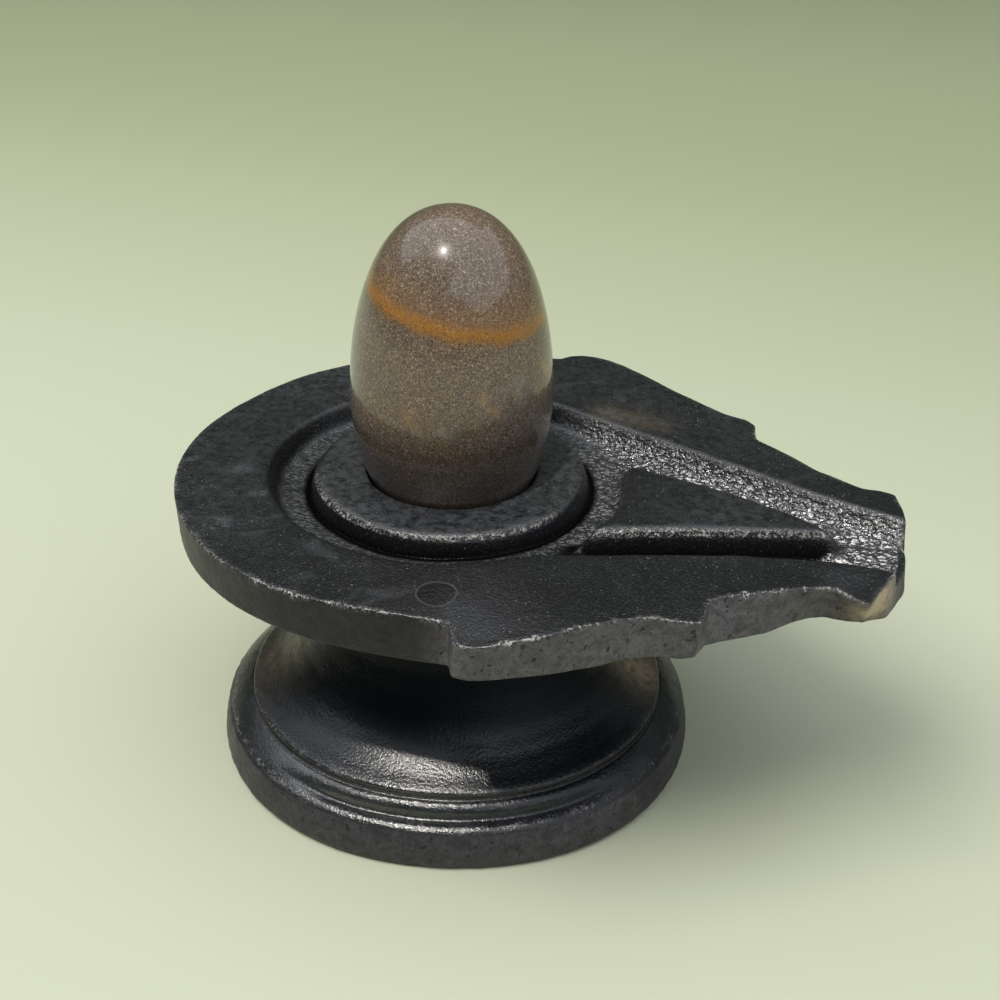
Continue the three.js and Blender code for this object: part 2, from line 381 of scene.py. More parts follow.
# %% Ring and channels together
def cut_share(x, y):
    """How deep the plate is cut at (x, y), from 0 on its top to 1 on the floors. The ring is
    the least of its two walls, the channels the least of theirs, and the two are joined."""
    radius = np.hypot(x, y)
    ring = np.minimum(
        fall(radius - COLLAR_RADIUS + 0.2, *COLLAR_FALL),
        fall(GUTTER_RADIUS - radius, *RING_FALL),
    )
    past_tongue = np.logaddexp(
        beyond(TONGUE_FRONT, x, y, -1) / TONGUE_CORNER,
        beyond(TONGUE_BACK, x, y, 1) / TONGUE_CORNER,
    )
    past_tongue = past_tongue * TONGUE_CORNER
    tongue_width = TONGUE_WIDTH + TIP_WIDTH * ease(x, 75.5, 79.5)
    channels = np.minimum.reduce(
        [
            fall(beyond(FRONT_WALL, x, y, 1) - 0.15, *FRONT_FALL),
            fall(beyond(BACK_WALL, x, y, -1), *BACK_FALL),
            fall(past_tongue, tongue_width, TONGUE_POWER, TONGUE_EDGE),
            fall(radius - CHANNEL_FROM_RADIUS, *FIRST_FALL),
            fall(x - CHANNEL_FROM_X, *EDGE_FALL),
        ]
    )
    return 1 - (1 - ring) * (1 - channels)


def depth_at(x, y):
    """Depth of the floors: the front channel was cut about a millimetre deeper."""
    ahead = ease(np.interp(x, wall_x, TONGUE_FRONT) - y, -4, 1)
    return CUT_DEPTH + FRONT_CHANNEL_EXTRA * ahead * ease(x, 30, 38) * (1 - ease(x, 74, 88))


# %% The height of the plate's top
# where grinding ran low: place, reach and depth
LOW_SPOTS = [((25.0, -58.5), 6.6, 1.9), ((84.0, -19.5), 4.5, 0.8), ((61, -38), 5, 0.5)]


def plate_top(x, y):
    """Height of the plate's upper side: its level, less the cut, less the places where
    grinding ran low, plus a slow unevenness of about a tenth of a millimetre."""
    place = np.stack([x, y, np.zeros_like(x)], axis=-1)
    low = hills(place, LOW_SPOTS)
    low = low + (PLATE_TOP_Z - COLLAR_TOP_Z) * (1 - ease(np.hypot(x, y), 28, 33))
    waves = 0.12 * ripple(place, 24, 21) + 0.05 * ripple(place, 9, 22)
    share = cut_share(x, y)
    return PLATE_TOP_Z - low + waves - 0.12 - depth_at(x, y) * share, share


print("cut at the ring and the disc:", cut_share(np.array([-34.0, -50.0]), np.zeros(2)).round(2))

# %% [markdown]
# ## Patches that follow the walls
#
# A wall looks crisp only if the mesh's lines run along it. One round grid can't do that for
# the disc and the spout alike, so the plate is laid out in patches that share their edges: the
# ring with the collar and the gutter, the disc round it, the two wings beside the spout, and
# the channels between them. The rim is walked once, in runs, and each run is an edge of one
# patch.

# %% Runs of the rim
LIP_RADIUS = 38.4
WING_ROWS = 36
SPOUT_STEPS = 150
# run of the rim: steps, its first place on the outline, and the angle on the gutter's lip
# where the same run starts, if it has an inner end there
RUNS = {
    "front wing": (80, (20.3, -52.6), -67.5),
    "front spout side": (SPOUT_STEPS, (46.0, -43.9), None),
    "front end": (WING_ROWS, (88.75, -20.2), None),
    "front wall": (8, (91.65, -8.9), -45.2),
    "front floor": (10, (92.0, -7.0), -40.0),
    "tongue front": (9, (92.7, -3.0), -25.4),
    "tongue": (20, (93.0, -0.9), -22.6),
    "tongue back": (8, (92.95, 1.6), 23.3),
    "back floor": (11, (92.7, 3.9), 26.2),
    "back wall": (13, (92.0, 8.0), 48.6),
    "back end": (WING_ROWS, (91.3, 11.6), None),
    "back spout side": (SPOUT_STEPS, (88.5, 21.3), None),
    "back wing": (40, (22.6, 61.2), 73.6),
    "disc": (325, (4.6, 61.0), 93.5),
}
steps_of = np.array([run[0] for run in RUNS.values()])
run_starts = np.concatenate([[0], np.cumsum(steps_of)])
run_at = dict(zip(RUNS, run_starts))
rim_count = run_starts[-1]
run_places = np.array([run[1] for run in RUNS.values()])
nearest = ((outline[None] - run_places[:, None]) ** 2).sum(axis=2).argmin(axis=1).astype(float)
nearest = np.unwrap(np.append(nearest, nearest[0]), period=len(outline))
rim_step = np.interp(np.arange(rim_count), run_starts, nearest) % len(outline)


def on_outline(values):
    """Values kept for each step of the outline, read off at the rim's own steps."""
    steps = np.arange(len(outline))
    return np.stack([np.interp(rim_step, steps, v, period=len(outline)) for v in values.T], axis=1)


rim = on_outline(outline)
rim_out = on_outline(outward)
rim_out /= np.hypot(*rim_out.T)[:, None]
print("rim:", rim_count, "steps")

# %% [markdown]
# The top edge is worn: its rounding is about half a millimetre, more where grains have
# crumbled out. The lower edge isn't straight below the upper one: below the spout's front
# corner the stone is ground away, so each place on the rim has its own shift for the lower
# edge.

# %% Wear and lean of the rim
rim_place = np.stack([rim[:, 0], rim[:, 1], np.full(rim_count, PLATE_TOP_Z)], axis=1)
crumbs = np.clip(ripple(rim_place, 3.2, 31) + 0.6 * ripple(rim_place, 1.5, 32) - 0.75, 0, None)
at_front = 0.15 + 0.85 * ease(rim[:, 0], -30, -12) * (1 - ease(rim[:, 1], -22, -12))
crumbs = crumbs * at_front
rounding = np.clip(0.5 + 0.10 * ripple(rim_place, 12, 33) + 0.5 * crumbs, 0.3, 1.25)
# place on the rim, then the shift of the lower edge in x and y
LOWER_SHIFTS = np.array(
    [
        (-10.0, -55.1, 0.0, 0.3), (12.0, -54.4, 0.2, -0.3), (20.3, -52.6, 0.2, -0.8),
        (22.6, -56.7, -0.4, 0.2), (29.0, -55.9, 0.0, 0.9), (37.8, -51.2, 0.3, 1.4),
        (45.4, -44.5, 0.4, 0.3), (58.4, -38.2, 0.0, 1.2), (61.8, -36.9, -0.9, 1.7),
        (61.5, -30.4, 0.3, -0.9), (63.8, -28.0, 0.3, -1.2), (71.3, -23.9, 0.3, 0.6),
        (76.1, -20.4, -0.8, 2.2), (79.7, -18.3, -1.3, 3.0), (82.0, -17.1, -1.2, 2.8),
        (84.2, -18.1, -0.8, 3.8), (88.7, -20.3, -0.8, 7.2), (91.7, -8.8, -0.2, -1.2),
        (93.0, -0.5, 0.6, 0.0), (91.5, 10.7, 0.2, 0.0), (88.5, 21.4, -1.0, -2.5),
        (82.1, 21.8, -0.2, -1.2), (57.5, 35.6, -0.3, -0.6), (31.4, 55.5, -0.3, -0.6),
        (9.3, 64.9, 0.3, -1.2), (-12.0, 57.8, 0.0, -0.6), (-40.0, 39.3, 0.4, -0.3),
        (-55.4, 0.0, 0.5, 0.0), (-41.0, -38.0, 0.3, 0.3),
    ]
)
shift_gaps = ((outline[None] - LOWER_SHIFTS[:, None, :2]) ** 2).sum(axis=2)
shift_steps = shift_gaps.argmin(axis=1)
order = np.argsort(shift_steps)
shift_at = np.arange(len(outline))
shifts = np.stack(
    [
        np.interp(shift_at, shift_steps[order], LOWER_SHIFTS[order, k], period=len(outline))
        for k in (2, 3)
    ],
    axis=1,
)
SHIFT_BLUR = 1.0
lower_shift = on_outline(blurred(shifts, OUTLINE_STEP, SHIFT_BLUR, loop=True))
EDGE_INSET = 1.3
DIRECTION_BLUR = 1.7
soft_out = on_outline(blurred(outward, OUTLINE_STEP, DIRECTION_BLUR, loop=True))
finish = rim - soft_out * EDGE_INSET
print("rounding of the rim:", rounding.min().round(2), "to", rounding.max().round(2), "mm")

# %% [markdown]
# The ring's columns are the runs that have an inner end on the lip. A wing or a channel is
# filled in from its four edges: the plain blend across it, plus the plain blend along it, less
# the blend of its corners, so that all four edges are met exactly.

# %% Columns of the ring, and how a patch is filled
ring_runs = [name for name, run in RUNS.items() if run[2] is not None]
ring_steps = np.array([RUNS[name][0] for name in ring_runs])
ring_starts = np.concatenate([[0], np.cumsum(ring_steps)])
ring_at = dict(zip(ring_runs, ring_starts))
ring_count = ring_starts[-1]
ring_angles = [RUNS[name][2] for name in ring_runs] + [RUNS[ring_runs[0]][2] + 360]
ring_angle = np.radians(np.interp(np.arange(ring_count + 1), ring_starts, ring_angles))
around = np.stack([np.cos(ring_angle), np.sin(ring_angle)], axis=1)
lip = LIP_RADIUS * around


def straight(first, last, steps):
    """Evenly spaced points from one place to another, ends included."""
    return first + (last - first) * np.linspace(0, 1, steps + 1)[:, None]


def filled(bottom, top, left, right):
    """Points (rows, columns, 2) between four edges: (1-v) bottom + v top + (1-u) left
    + u right, less the same blend of the four corners."""
    u = np.linspace(0, 1, len(bottom))[None, :, None]
    v = np.linspace(0, 1, len(left))[:, None, None]
    across = (1 - v) * bottom[None] + v * top[None]
    along = (1 - u) * left[:, None] + u * right[:, None]
    low = (1 - u) * bottom[0] + u * bottom[-1]
    high = (1 - u) * top[0] + u * top[-1]
    return across + along - (1 - v) * low - v * high


def rim_run(name, last=None):
    """The inner points of the worn edge along the named run, up to the end of run `last`."""
    end = run_at[last or name] + RUNS[last or name][0]
    return finish[np.arange(run_at[name], end + 1) % rim_count]


# %% Lines that run with the walls
share_along = np.linspace(0, 1, SPOUT_STEPS + 1)


def pinned(offset):
    """An offset along a line, eased down to nothing at the line's two ends."""
    offset = offset - offset[0] * (1 - ease(share_along, 0, 0.12))
    return offset - offset[-1] * ease(share_along, 0.85, 1.0)


def wall_column(name, line, aside, join=0.0, meet=0.0):
    """A line from the lip to the spout's end that keeps the distance `aside` (in y) from a
    wall's line; past the tongue's tip it blends, by `join`, into the straight line y = meet."""
    first = lip[ring_at[name]]
    last = finish[run_at[name]]
    path = straight(first, last, SPOUT_STEPS)
    wanted = np.interp(path[:, 0], wall_x, line) + aside
    wanted += (meet - wanted) * join * ease(path[:, 0], 73.0, 80.0)
    path[:, 1] += pinned(wanted - path[:, 1])
    return path


LINES = {
    "front wall": wall_column("front wall", FRONT_WALL, -0.35),
    "front floor": wall_column("front floor", FRONT_WALL, 1.5),
    "tongue front": wall_column("tongue front", TONGUE_FRONT, -1.5, 1.0, -2.2),
    "tongue": wall_column("tongue", TONGUE_FRONT, 0.6, 1.0, -0.6),
    "tongue back": wall_column("tongue back", TONGUE_BACK, -0.6, 1.0, 1.3),
    "back floor": wall_column("back floor", TONGUE_BACK, 1.5, 1.0, 3.3),
    "back wall": wall_column("back wall", BACK_WALL, -4.3),
    "back end": straight(lip[ring_at["back wing"]], finish[run_at["back end"]], SPOUT_STEPS),
}
back_edge = LINES["back end"]
back_bow = np.interp(back_edge[:, 0], wall_x, BACK_WALL) + 0.35 - back_edge[:, 1]
back_edge[:, 1] += pinned(back_bow)
print("lines along the spout:", len(LINES))

# %% The patches of the top
channel_knots = [ring_at[name] for name in LINES if name != "back end"] + [ring_at["back wing"]]
channel_columns = np.arange(channel_knots[0], channel_knots[-1] + 1)
line_points = np.array(list(LINES.values()))
channels = np.stack(
    [
        np.stack([np.interp(channel_columns, channel_knots, row) for row in axis.T])
        for axis in np.moveaxis(line_points, 2, 0)
    ],
    axis=-1,
)
# the two ends lie on the lip's arc and on the rim, which aren't straight between the lines
channel_lip = lip[channel_columns]
channel_rim = rim_run("front wall", "back wall")
lip_off = (channel_lip - channels[0])[None] * (1 - ease(share_along, 0, 0.25))[:, None, None]
rim_off = (channel_rim - channels[-1])[None] * ease(share_along, 0.85, 1.0)[:, None, None]
channels = channels + lip_off + rim_off

wing_lip = lip[: ring_at["front wall"] + 1]
front_wing = filled(
    np.vstack([wing_lip, LINES["front wall"][1:]]),
    rim_run("front wing", "front spout side"),
    straight(lip[0], finish[0], WING_ROWS),
    rim_run("front end")[::-1],
)
disc_lip = lip[ring_at["disc"] :]
back_wing = filled(
    np.vstack([back_edge[::-1], lip[ring_at["back wing"] + 1 : ring_at["disc"] + 1]]),
    rim_run("back spout side", "back wing"),
    rim_run("back end"),
    straight(disc_lip[0], finish[run_at["disc"]], WING_ROWS),
)
disc_share = np.linspace(0, 1, WING_ROWS + 1)[:, None, None]
disc_fan = disc_lip + (rim_run("disc") - disc_lip) * disc_share

patches = {"channels": channels, "front": front_wing, "back": back_wing, "disc": disc_fan}
for name, grid in patches.items():
    side_step = grid[:-1, 1:] - grid[:-1, :-1]
    out_step = grid[1:, :-1] - grid[:-1, :-1]
    cell = out_step[..., 0] * side_step[..., 1] - out_step[..., 1] * side_step[..., 0]
    print(name, grid.shape[:2], "smallest cell", cell.min().round(4), "folded", (cell <= 0).sum())

# %% [markdown]
# ## The plate, from socket to underside
#
# The ring's rows go up the socket's wall, over the collar and through the gutter to its lip.
# From the rim, rows go round the worn edge, down the side and back in along the underside,
# whose last row takes its points from the socket's first row, so the plate is closed.

# %% Rows of the ring
PLATE_UNDER_Z = 51.4
SOCKET_GAP = 0.28
SOCKET_Z = np.array([51.7, 55.0, 58.0, 60.0])
# the socket's rounded mouth: how far out from the stone, and height
MOUTH = np.array([[0.32, 60.45], [0.5, 60.68], [0.8, 60.78], [1.4, COLLAR_TOP_Z]])
MOUTH_AT = 60.4
COLLAR_ROWS = np.concatenate([np.linspace(20.2, 27.4, 9), [27.8, 28.1]])
GUTTER_ROWS = np.concatenate(
    [np.linspace(28.3, 29.6, 8), [30.1, 31.0, 32.0, 33.0, 34.0], np.linspace(34.6, LIP_RADIUS, 12)]
)
# the collar's rows slide from the stone's centre to the gutter's middle over this width
COLLAR_EDGE, COLLAR_WIDTH = 27.0, 7.0


def ring_rows(radii, centre_share):
    """Plan points of rings round the gutter's middle, moved towards the stone's own centre by
    the given share."""
    middle = STONE_CENTRE[None, None] * np.asarray(centre_share)[:, None, None]
    return middle + np.asarray(radii)[:, None, None] * around[None]


def raised(plan, height):
    """Plan points (rows, columns, 2) with a height for each point, row or column."""
    height = np.broadcast_to(height, plan.shape[:2])
    return np.concatenate([plan, height[..., None]], axis=2)


socket_radii = stone_radius(SOCKET_Z) + SOCKET_GAP
socket_rows = raised(ring_rows(socket_radii, np.ones(len(SOCKET_Z))), SOCKET_Z[:, None])
mouth_radii = stone_radius(np.array([MOUTH_AT])) + MOUTH[:, 0]
mouth_rows = raised(ring_rows(mouth_radii, np.ones(len(MOUTH))), MOUTH[:, 1][:, None])
inner_radii = np.concatenate([COLLAR_ROWS, GUTTER_ROWS])
centre_share = np.clip((COLLAR_EDGE - inner_radii) / COLLAR_WIDTH, 0, 1)
collar_and_gutter = ring_rows(inner_radii, centre_share)
print("socket and ring:", len(SOCKET_Z) + len(MOUTH) + len(inner_radii), "rows")

# %% Rows round the edge, down the side and underneath
EDGE_ROWS, SIDE_ROWS, UNDER_ROWS = 7, 11, 4
UNDER_ROUND = 0.8
# how far in towards the socket each row of the underside lies
BOTTOM_SHARES = np.array([0.1, 0.25, 0.45, 0.65, 0.85, 1.0])

rim_z = plate_top(finish[:, 0], finish[:, 1])[0]
edge_turn = np.linspace(0, np.pi / 2, EDGE_ROWS)
edge_in = rounding * (1 - np.sin(edge_turn))[:, None]
edge_down = rounding * (1 - np.cos(edge_turn))[:, None]
edge_in = np.vstack([np.full(rim_count, EDGE_INSET), edge_in])
edge_down = np.vstack([np.zeros(rim_count), edge_down])
edge_rows = raised(rim[None] - soft_out[None] * edge_in[..., None], rim_z - edge_down)

side_share = np.linspace(0, 1, SIDE_ROWS + 1)[1:]
side_top = rim_z - rounding
underside = PLATE_UNDER_Z + 0.12 * ripple(rim_place, 30, 41)
side_z = side_top + (underside + UNDER_ROUND - side_top) * side_share[:, None]
side_rows = raised(rim[None] + lower_shift[None] * side_share[:, None, None], side_z)

under_turn = np.linspace(0, np.pi / 2, UNDER_ROWS + 1)[1:]
lower = rim + lower_shift
under_in = UNDER_ROUND * (1 - np.cos(under_turn))
under_plan = lower[None] - soft_out[None] * under_in[:, None, None]
under_rows = raised(under_plan, underside + UNDER_ROUND * (1 - np.sin(under_turn))[:, None])

rim_angle = np.arctan2(finish[:, 1], finish[:, 0])
turned_to = (rim_angle - ring_angle[0]) % (2 * np.pi) + ring_angle[0]
socket_column = np.abs(turned_to[:, None] - ring_angle[None]).argmin(axis=1)
bottom_goal = socket_rows[0][socket_column]
bottom_rows = under_rows[-1] + (bottom_goal - under_rows[-1]) * BOTTOM_SHARES[:, None, None]
print("rows below the rim:", SIDE_ROWS + UNDER_ROWS + len(BOTTOM_SHARES))

# %% [markdown]
# Each patch is a grid of points. They're put in one list, and points that fall in the same
# place are made one, which joins the patches. A square whose corners have become three is a
# triangle.


# %% Joining the patches
def wrapped(grid):
    """A grid with its first column repeated at the end."""
    return np.concatenate([grid, grid[:, :1]], axis=1)


def joined(grids):
    """One list of points and one of faces (four numbers each; a triangle repeats its last).
    Also says, for each point left, where it first was in the grids' own order."""
    faces, count = [], 0
    for grid in grids:
        rows, columns = grid.shape[:2]
        index = np.arange(rows * columns).reshape(rows, columns) + count
        faces.append(
            np.stack([index[:-1, :-1], index[1:, :-1], index[1:, 1:], index[:-1, 1:]], axis=-1)
        )
        count += rows * columns
    faces = np.concatenate([f.reshape(-1, 4) for f in faces])
    points = np.concatenate([grid.reshape(-1, 3) for grid in grids])
    rounded = np.round(points, 4)
    _, first, back = np.unique(rounded, axis=0, return_index=True, return_inverse=True)
    return points[first], back.reshape(-1)[faces], first


# %% Squares, triangles and their normals
def face_list(faces):
    """The squares, and the triangles left of squares that lost one corner; faces with fewer
    than three corners are left out."""
    same = faces == np.roll(faces, -1, axis=1)
    whole = faces[~same.any(axis=1)]
    one = same.sum(axis=1) == 1
    thirds = faces[one][~same[one]].reshape(-1, 3)
    thirds = thirds[(thirds[:, 0] != thirds[:, 1]) & (thirds[:, 1] != thirds[:, 2])]
    return whole, thirds


def point_normals(points, whole, thirds):
    """Unit normals of the points: the sum of the normals of their faces, weighted by area. A
    square's is the cross product of its diagonals, and the same steps give a triangle's."""
    normal = np.zeros_like(points)
    for faces in (whole, thirds):
        first = points[faces[:, 2]] - points[faces[:, 0]]
        second = points[faces[:, -1]] - points[faces[:, 1]]
        turn = np.cross(first, second)
        for corner in faces.T:
            np.add.at(normal, corner, turn)
    return normal / np.maximum(np.linalg.norm(normal, axis=1, keepdims=True), 1e-12)


def top_patch(plan):
    """A patch of the top with its heights, and how deep each point is cut."""
    height, share = plate_top(plan[..., 0], plan[..., 1])
    return raised(plan, height), share


# %% The patches put together, with what each point's part is
ring_top, ring_cut = top_patch(collar_and_gutter)
grids = [np.concatenate([socket_rows, mouth_rows, ring_top])]
uncut = np.zeros((len(SOCKET_Z) + len(MOUTH), ring_count + 1))
cuts = [np.concatenate([uncut, ring_cut])]
for plan in patches.values():
    grid, share = top_patch(plan)
    grids.append(grid)
    cuts.append(share)
outer_rows = wrapped(np.concatenate([edge_rows, side_rows, under_rows, bottom_rows]))
grids.append(outer_rows)
cuts.append(np.zeros(outer_rows.shape[:2]))

# the side's finish starts part way round the edge, and the pale edge colour, painted partly as
# wear and partly as highlight, is strongest half way round
below = np.ones(SIDE_ROWS + UNDER_ROWS + len(BOTTOM_SHARES))
side_of_row = np.concatenate([[0], ease(np.linspace(0, 1, EDGE_ROWS), 0.35, 1.0), below])
wear_and_glint_of_row = np.concatenate([[0], np.sin(np.linspace(0.3, 2.9, EDGE_ROWS)), 0 * below])
wear_and_glint_of_rim = np.clip(0.35 + 0.9 * crumbs + 0.35 * ripple(rim_place, 6, 34), 0, 1.3)
wear_and_glint_rows = wear_and_glint_of_row[:, None] * np.append(wear_and_glint_of_rim, wear_and_glint_of_rim[0])[None]
sides = [np.zeros(grid.shape[:2]) for grid in grids[:-1]]
sides.append(np.broadcast_to(side_of_row[:, None], outer_rows.shape[:2]))
wears_and_glints = [np.zeros(grid.shape[:2]) for grid in grids[:-1]] + [wear_and_glint_rows]

# the rim's own patch goes first, so that its numbers win where patches meet
grids, cuts, sides, wears_and_glints = (values[::-1] for values in (grids, cuts, sides, wears_and_glints))
plate_points, plate_faces, first = joined(grids)
cut, side, wear_and_glint = (
    np.concatenate([v.reshape(-1) for v in values])[first] for values in (cuts, sides, wears_and_glints)
)
whole, thirds = face_list(plate_faces)
print("plate:", len(plate_points), "points,", 2 * len(whole) + len(thirds), "triangles")

# %% [markdown]
# ## Tool marks
#
# The floors of the cuts were left as the punch made them: small glittering dents side by
# side. The sawn sides carry finer pits, and the top was rubbed almost smooth. Each point is
# moved along its own normal by an unevenness of the right size for its part.

# %% Where the plate is cut and punched, and where shade and glints are painted
px, py = plate_points[:, 0], plate_points[:, 1]
from_middle = np.hypot(px, py)
off_tongue = beyond(TONGUE_FRONT, px, py, -1)
by_tongue = (1 - ease(np.abs(off_tongue), 1.5, 2.6)) * ease(px, 26, 32) * (1 - ease(px, 80, 82.5))
by_collar = 1 - ease(from_middle, 30.0, 31.2)
by_rim = 0.90 * ease(from_middle, 35.0, 36.4) * (1 - ease(px, 8, 20))
# the smooth walls of the cuts, which the material paints nearly black as painted shade
wall = cut * np.maximum.reduce([by_tongue, by_collar, by_rim])
in_ring = 1 - ease(from_middle, 36, 41)
hammer = (cut - wall) * (1 - in_ring * (0.55 + 0.19 * (1 - ease(px, 16, 26))))
# painted glints: the back channel and the mouth are painted brighter, where the key light glints
# on the dents
painted_glint = hammer * (0.10 + 0.90 * ease(px, 4, 66)) * ease(py, -26 + 0.22 * px, -12 + 0.10 * px)
print("punched share of the points:", (hammer > 0.3).mean().round(3))

# %% Where brown earth shows and edges are chipped
# place, reach and strength: at two worn corners of the rim, and on the top
EARTH_ON_RIM = [((91.5, -15.0, 56.5), 3.3, 1.7), ((56.3, 41.5, 57.5), 2.0, 0.6)]
EARTH_ON_TOP = [
    ((23.0, 36.3, 61.0), 2.4, 0.10),
    ((29.5, 35.6, 61.0), 2.8, 0.08),
    ((36.0, 34.0, 61.0), 2.4, 0.06),
]
tan = hills(plate_points, EARTH_ON_RIM) * side + hills(plate_points, EARTH_ON_TOP)

# the collar's and the tongue's front edges are chipped along their tops, and the chips are painted
# pale as glints
on_collar_edge = near(from_middle, 28.2, 0.40) * (1 - ease(py, -16, -6))
on_collar_edge *= ease(plate_points[:, 2], 59.4, 60.0)
on_tongue_edge = near(off_tongue, 0.1, 0.45) * ease(px, 30, 34) * (1 - ease(px, 76, 79))
on_tongue_edge *= ease(plate_points[:, 2], 59.3, 59.9) * (py > -20)
chipped = np.maximum(on_collar_edge, on_tongue_edge)
chips = np.clip(0.90 + 0.5 * ripple(plate_points, 1.6, 56), 0, 1.4)
wear_and_glint = np.maximum(wear_and_glint, 1.1 * chipped * chips)
print("chipped points:", int((chipped > 0.5).sum()))

# %% Where drops dried
# middle, length and width across, and heading in degrees
SMUDGES = np.array(
    [
        [-33.5, -37.7, 2.9, 2.4, 38],
        [-39.4, -17.8, 2.4, 1.9, 38],
        [-51.6, -17.2, 1.6, 1.2, 40],
        [-31.5, -25.1, 1.9, 1.2, 35],
        [-23.7, -1.0, 2.4, 1.6, 45],
    ]
)


def smudged(x, y):
    """The strongest smudge at each place: 1 inside an ellipse, fading at its edge."""
    along, across = np.cos(np.radians(SMUDGES[:, 4])), np.sin(np.radians(SMUDGES[:, 4]))
    dx, dy = x[:, None] - SMUDGES[:, 0], y[:, None] - SMUDGES[:, 1]
    first = (dx * along + dy * across) / SMUDGES[:, 2]
    second = (dy * along - dx * across) / SMUDGES[:, 3]
    return (1 - ease(np.hypot(first, second), 0.75, 1.25)).max(axis=1)


# the collar is painted palest, a painted sheen; dust and dried water dull the disc's left part and
# the tongue less
on_top = (1 - side) * ease(plate_points[:, 2], 60.2, 60.6)
dust_and_sheen = 1.2 * (1 - ease(from_middle, 27.6, 28.4)) + 0.55 * (1 - ease(px, -45, -5))
dust_and_sheen += 0.40 * ease(from_middle, 38, 42) * ease(py, 10, 40)
dust_and_sheen += 0.7 * bump_at(plate_points, (58.0, 3.0), 12)
dust_and_sheen = (dust_and_sheen + 0.9 * smudged(px, py)) * on_top + 0.95 * (cut - wall) * in_ring
print("dusty share of the points:", (dust_and_sheen > 0.3).mean().round(3))

# %% Tool marks, and the plate's mesh
# painted light: the spout's front side is painted paler, as lit
painted_lit_side = ease(px, 14, 22) * (1 - ease(py, -12, 0))
polish = 0.30 - 0.285 * wall + 0.65 * hammer - 0.15 * side

dents = 0.10 * ripple(plate_points, 3.4, 51) + 0.07 * ripple(plate_points, 2.0, 52)
dents *= 1 - 0.65 * in_ring
pits = 0.020 * ripple(plate_points, 7.0, 53) + 0.020 * ripple(plate_points, 2.2, 54)
rubbed = 0.012 * ripple(plate_points, 5.0, 55)
marks = hammer * dents + side * pits + (1 - cut) * (1 - side) * rubbed
marks -= 0.16 * chipped * chips
in_socket = ease(np.hypot(px - STONE_CENTRE[0], py - STONE_CENTRE[1]), 19.4, 21.0)
marks *= in_socket
plate_points = plate_points + point_normals(plate_points, whole, thirds) * marks[:, None]
plate = mesh_piece(
    "spout_plate",
    plate_points,
    whole.tolist() + thirds.tolist(),
    {
        "wall": wall,
        "hammer": hammer,
        "painted_glint": painted_glint,
        "dust_and_sheen": dust_and_sheen,
        "painted_lit_side": painted_lit_side,
        "polish": polish,
        "side": side,
        "wear_and_glint": wear_and_glint,
        "tan": tan,
        "gloss": np.zeros(len(plate_points)),
    },
)

# %% [markdown]
# ## Waist and foot
#
# Below the plate the block was turned to a waist that flares into a bell. A thin sharp lip
# ends the bell, then come a bead, a cove and the round shoulder of the foot. It is one profile
# carried round an axis that leans a little. The profile's corners are walked in short steps and
# averaged over a fifth of a millimetre, so each gets a small fillet. It starts under the foot
# and ends at the socket's bottom.

# %% The foot's profile
FOOT_CENTRE = np.array([2.7, -2.7])
FOOT_LEAN = np.array([0.65, -1.75])
PLATE_JOIN_Z = 51.9
# radius and height
FOOT_PROFILE = np.array(
    [
        # under the foot, and up its side
        (20.0, 0.0), (49.9, 0.0), (50.7, 0.5), (51.1, 1.5), (51.0, 4.0), (50.6, 6.4),
        # the round shoulder
        (50.1, 7.9), (49.6, 8.6), (48.8, 9.0), (48.0, 8.9), (47.2, 8.6), (46.7, 8.7),
        # the cove, and the bead above it
        (46.5, 9.2), (46.7, 9.9), (46.7, 10.6), (46.45, 11.3), (45.95, 11.9), (45.3, 12.2),
        # a narrow groove, and the bell's lip
        (44.85, 12.05), (44.55, 12.15), (44.5, 12.8), (44.6, 13.5), (44.2, 13.9),
        # the bell
        (41.4, 15.2), (38.4, 17.0), (35.6, 19.4), (33.0, 22.4), (30.7, 26.1), (28.7, 30.3),
        # the waist, out to the plate, and in under it
        (27.5, 35.0), (28.2, 40.0), (30.4, 44.4), (33.8, 48.2), (37.6, 50.7),
        (37.9, PLATE_JOIN_Z), (24.0, PLATE_JOIN_Z), (16.0, PLATE_JOIN_Z),
    ]
)
PROFILE_STEP = 0.1
PROFILE_BLUR = 0.2
# spacing of the rows: where the mouldings are, on the bell, under the foot, under the plate
MOULDING_ROWS, BELL_ROWS, BOTTOM_ROWS, JOIN_ROWS = 0.24, 0.8, 4.0, 3.0

fine_profile = blurred(walk(FOOT_PROFILE, PROFILE_STEP), PROFILE_STEP, PROFILE_BLUR, loop=False)
spacing = np.where(fine_profile[:, 0] > 44.0, MOULDING_ROWS, BELL_ROWS)
spacing[(fine_profile[:, 1] < 0.1) & (fine_profile[:, 0] < 49)] = BOTTOM_ROWS
spacing[fine_profile[:, 1] > 51.5] = JOIN_ROWS
places = np.cumsum(PROFILE_STEP / spacing)
steps = np.arange(len(places))
picked = np.interp(np.arange(int(places[0]), int(places[-1])) + 1.0, places, steps)
profile = np.stack([np.interp(picked, steps, axis) for axis in fine_profile.T], axis=1)
print("foot profile rows:", len(profile))

# %% A plain slope in place of the bead
# beside the front, one smooth slope takes the place of the bead and the cove
SLOPE_BOW = 0.35
in_slope = (profile[:, 0] > 44.88) & (profile[:, 1] > 8.1) & (profile[:, 1] < 12.15)
slope_share = np.linspace(0, 1, in_slope.sum())[:, None]
slope_ends = profile[in_slope][[0, -1]]
slope = slope_ends[0] + (slope_ends[1] - slope_ends[0]) * slope_share
slope[:, 1] += SLOPE_BOW * np.sin(np.pi * slope_share[:, 0])
to_slope = np.zeros_like(profile)
to_slope[in_slope] = slope - profile[in_slope]
print("rows in the slope:", int(in_slope.sum()))


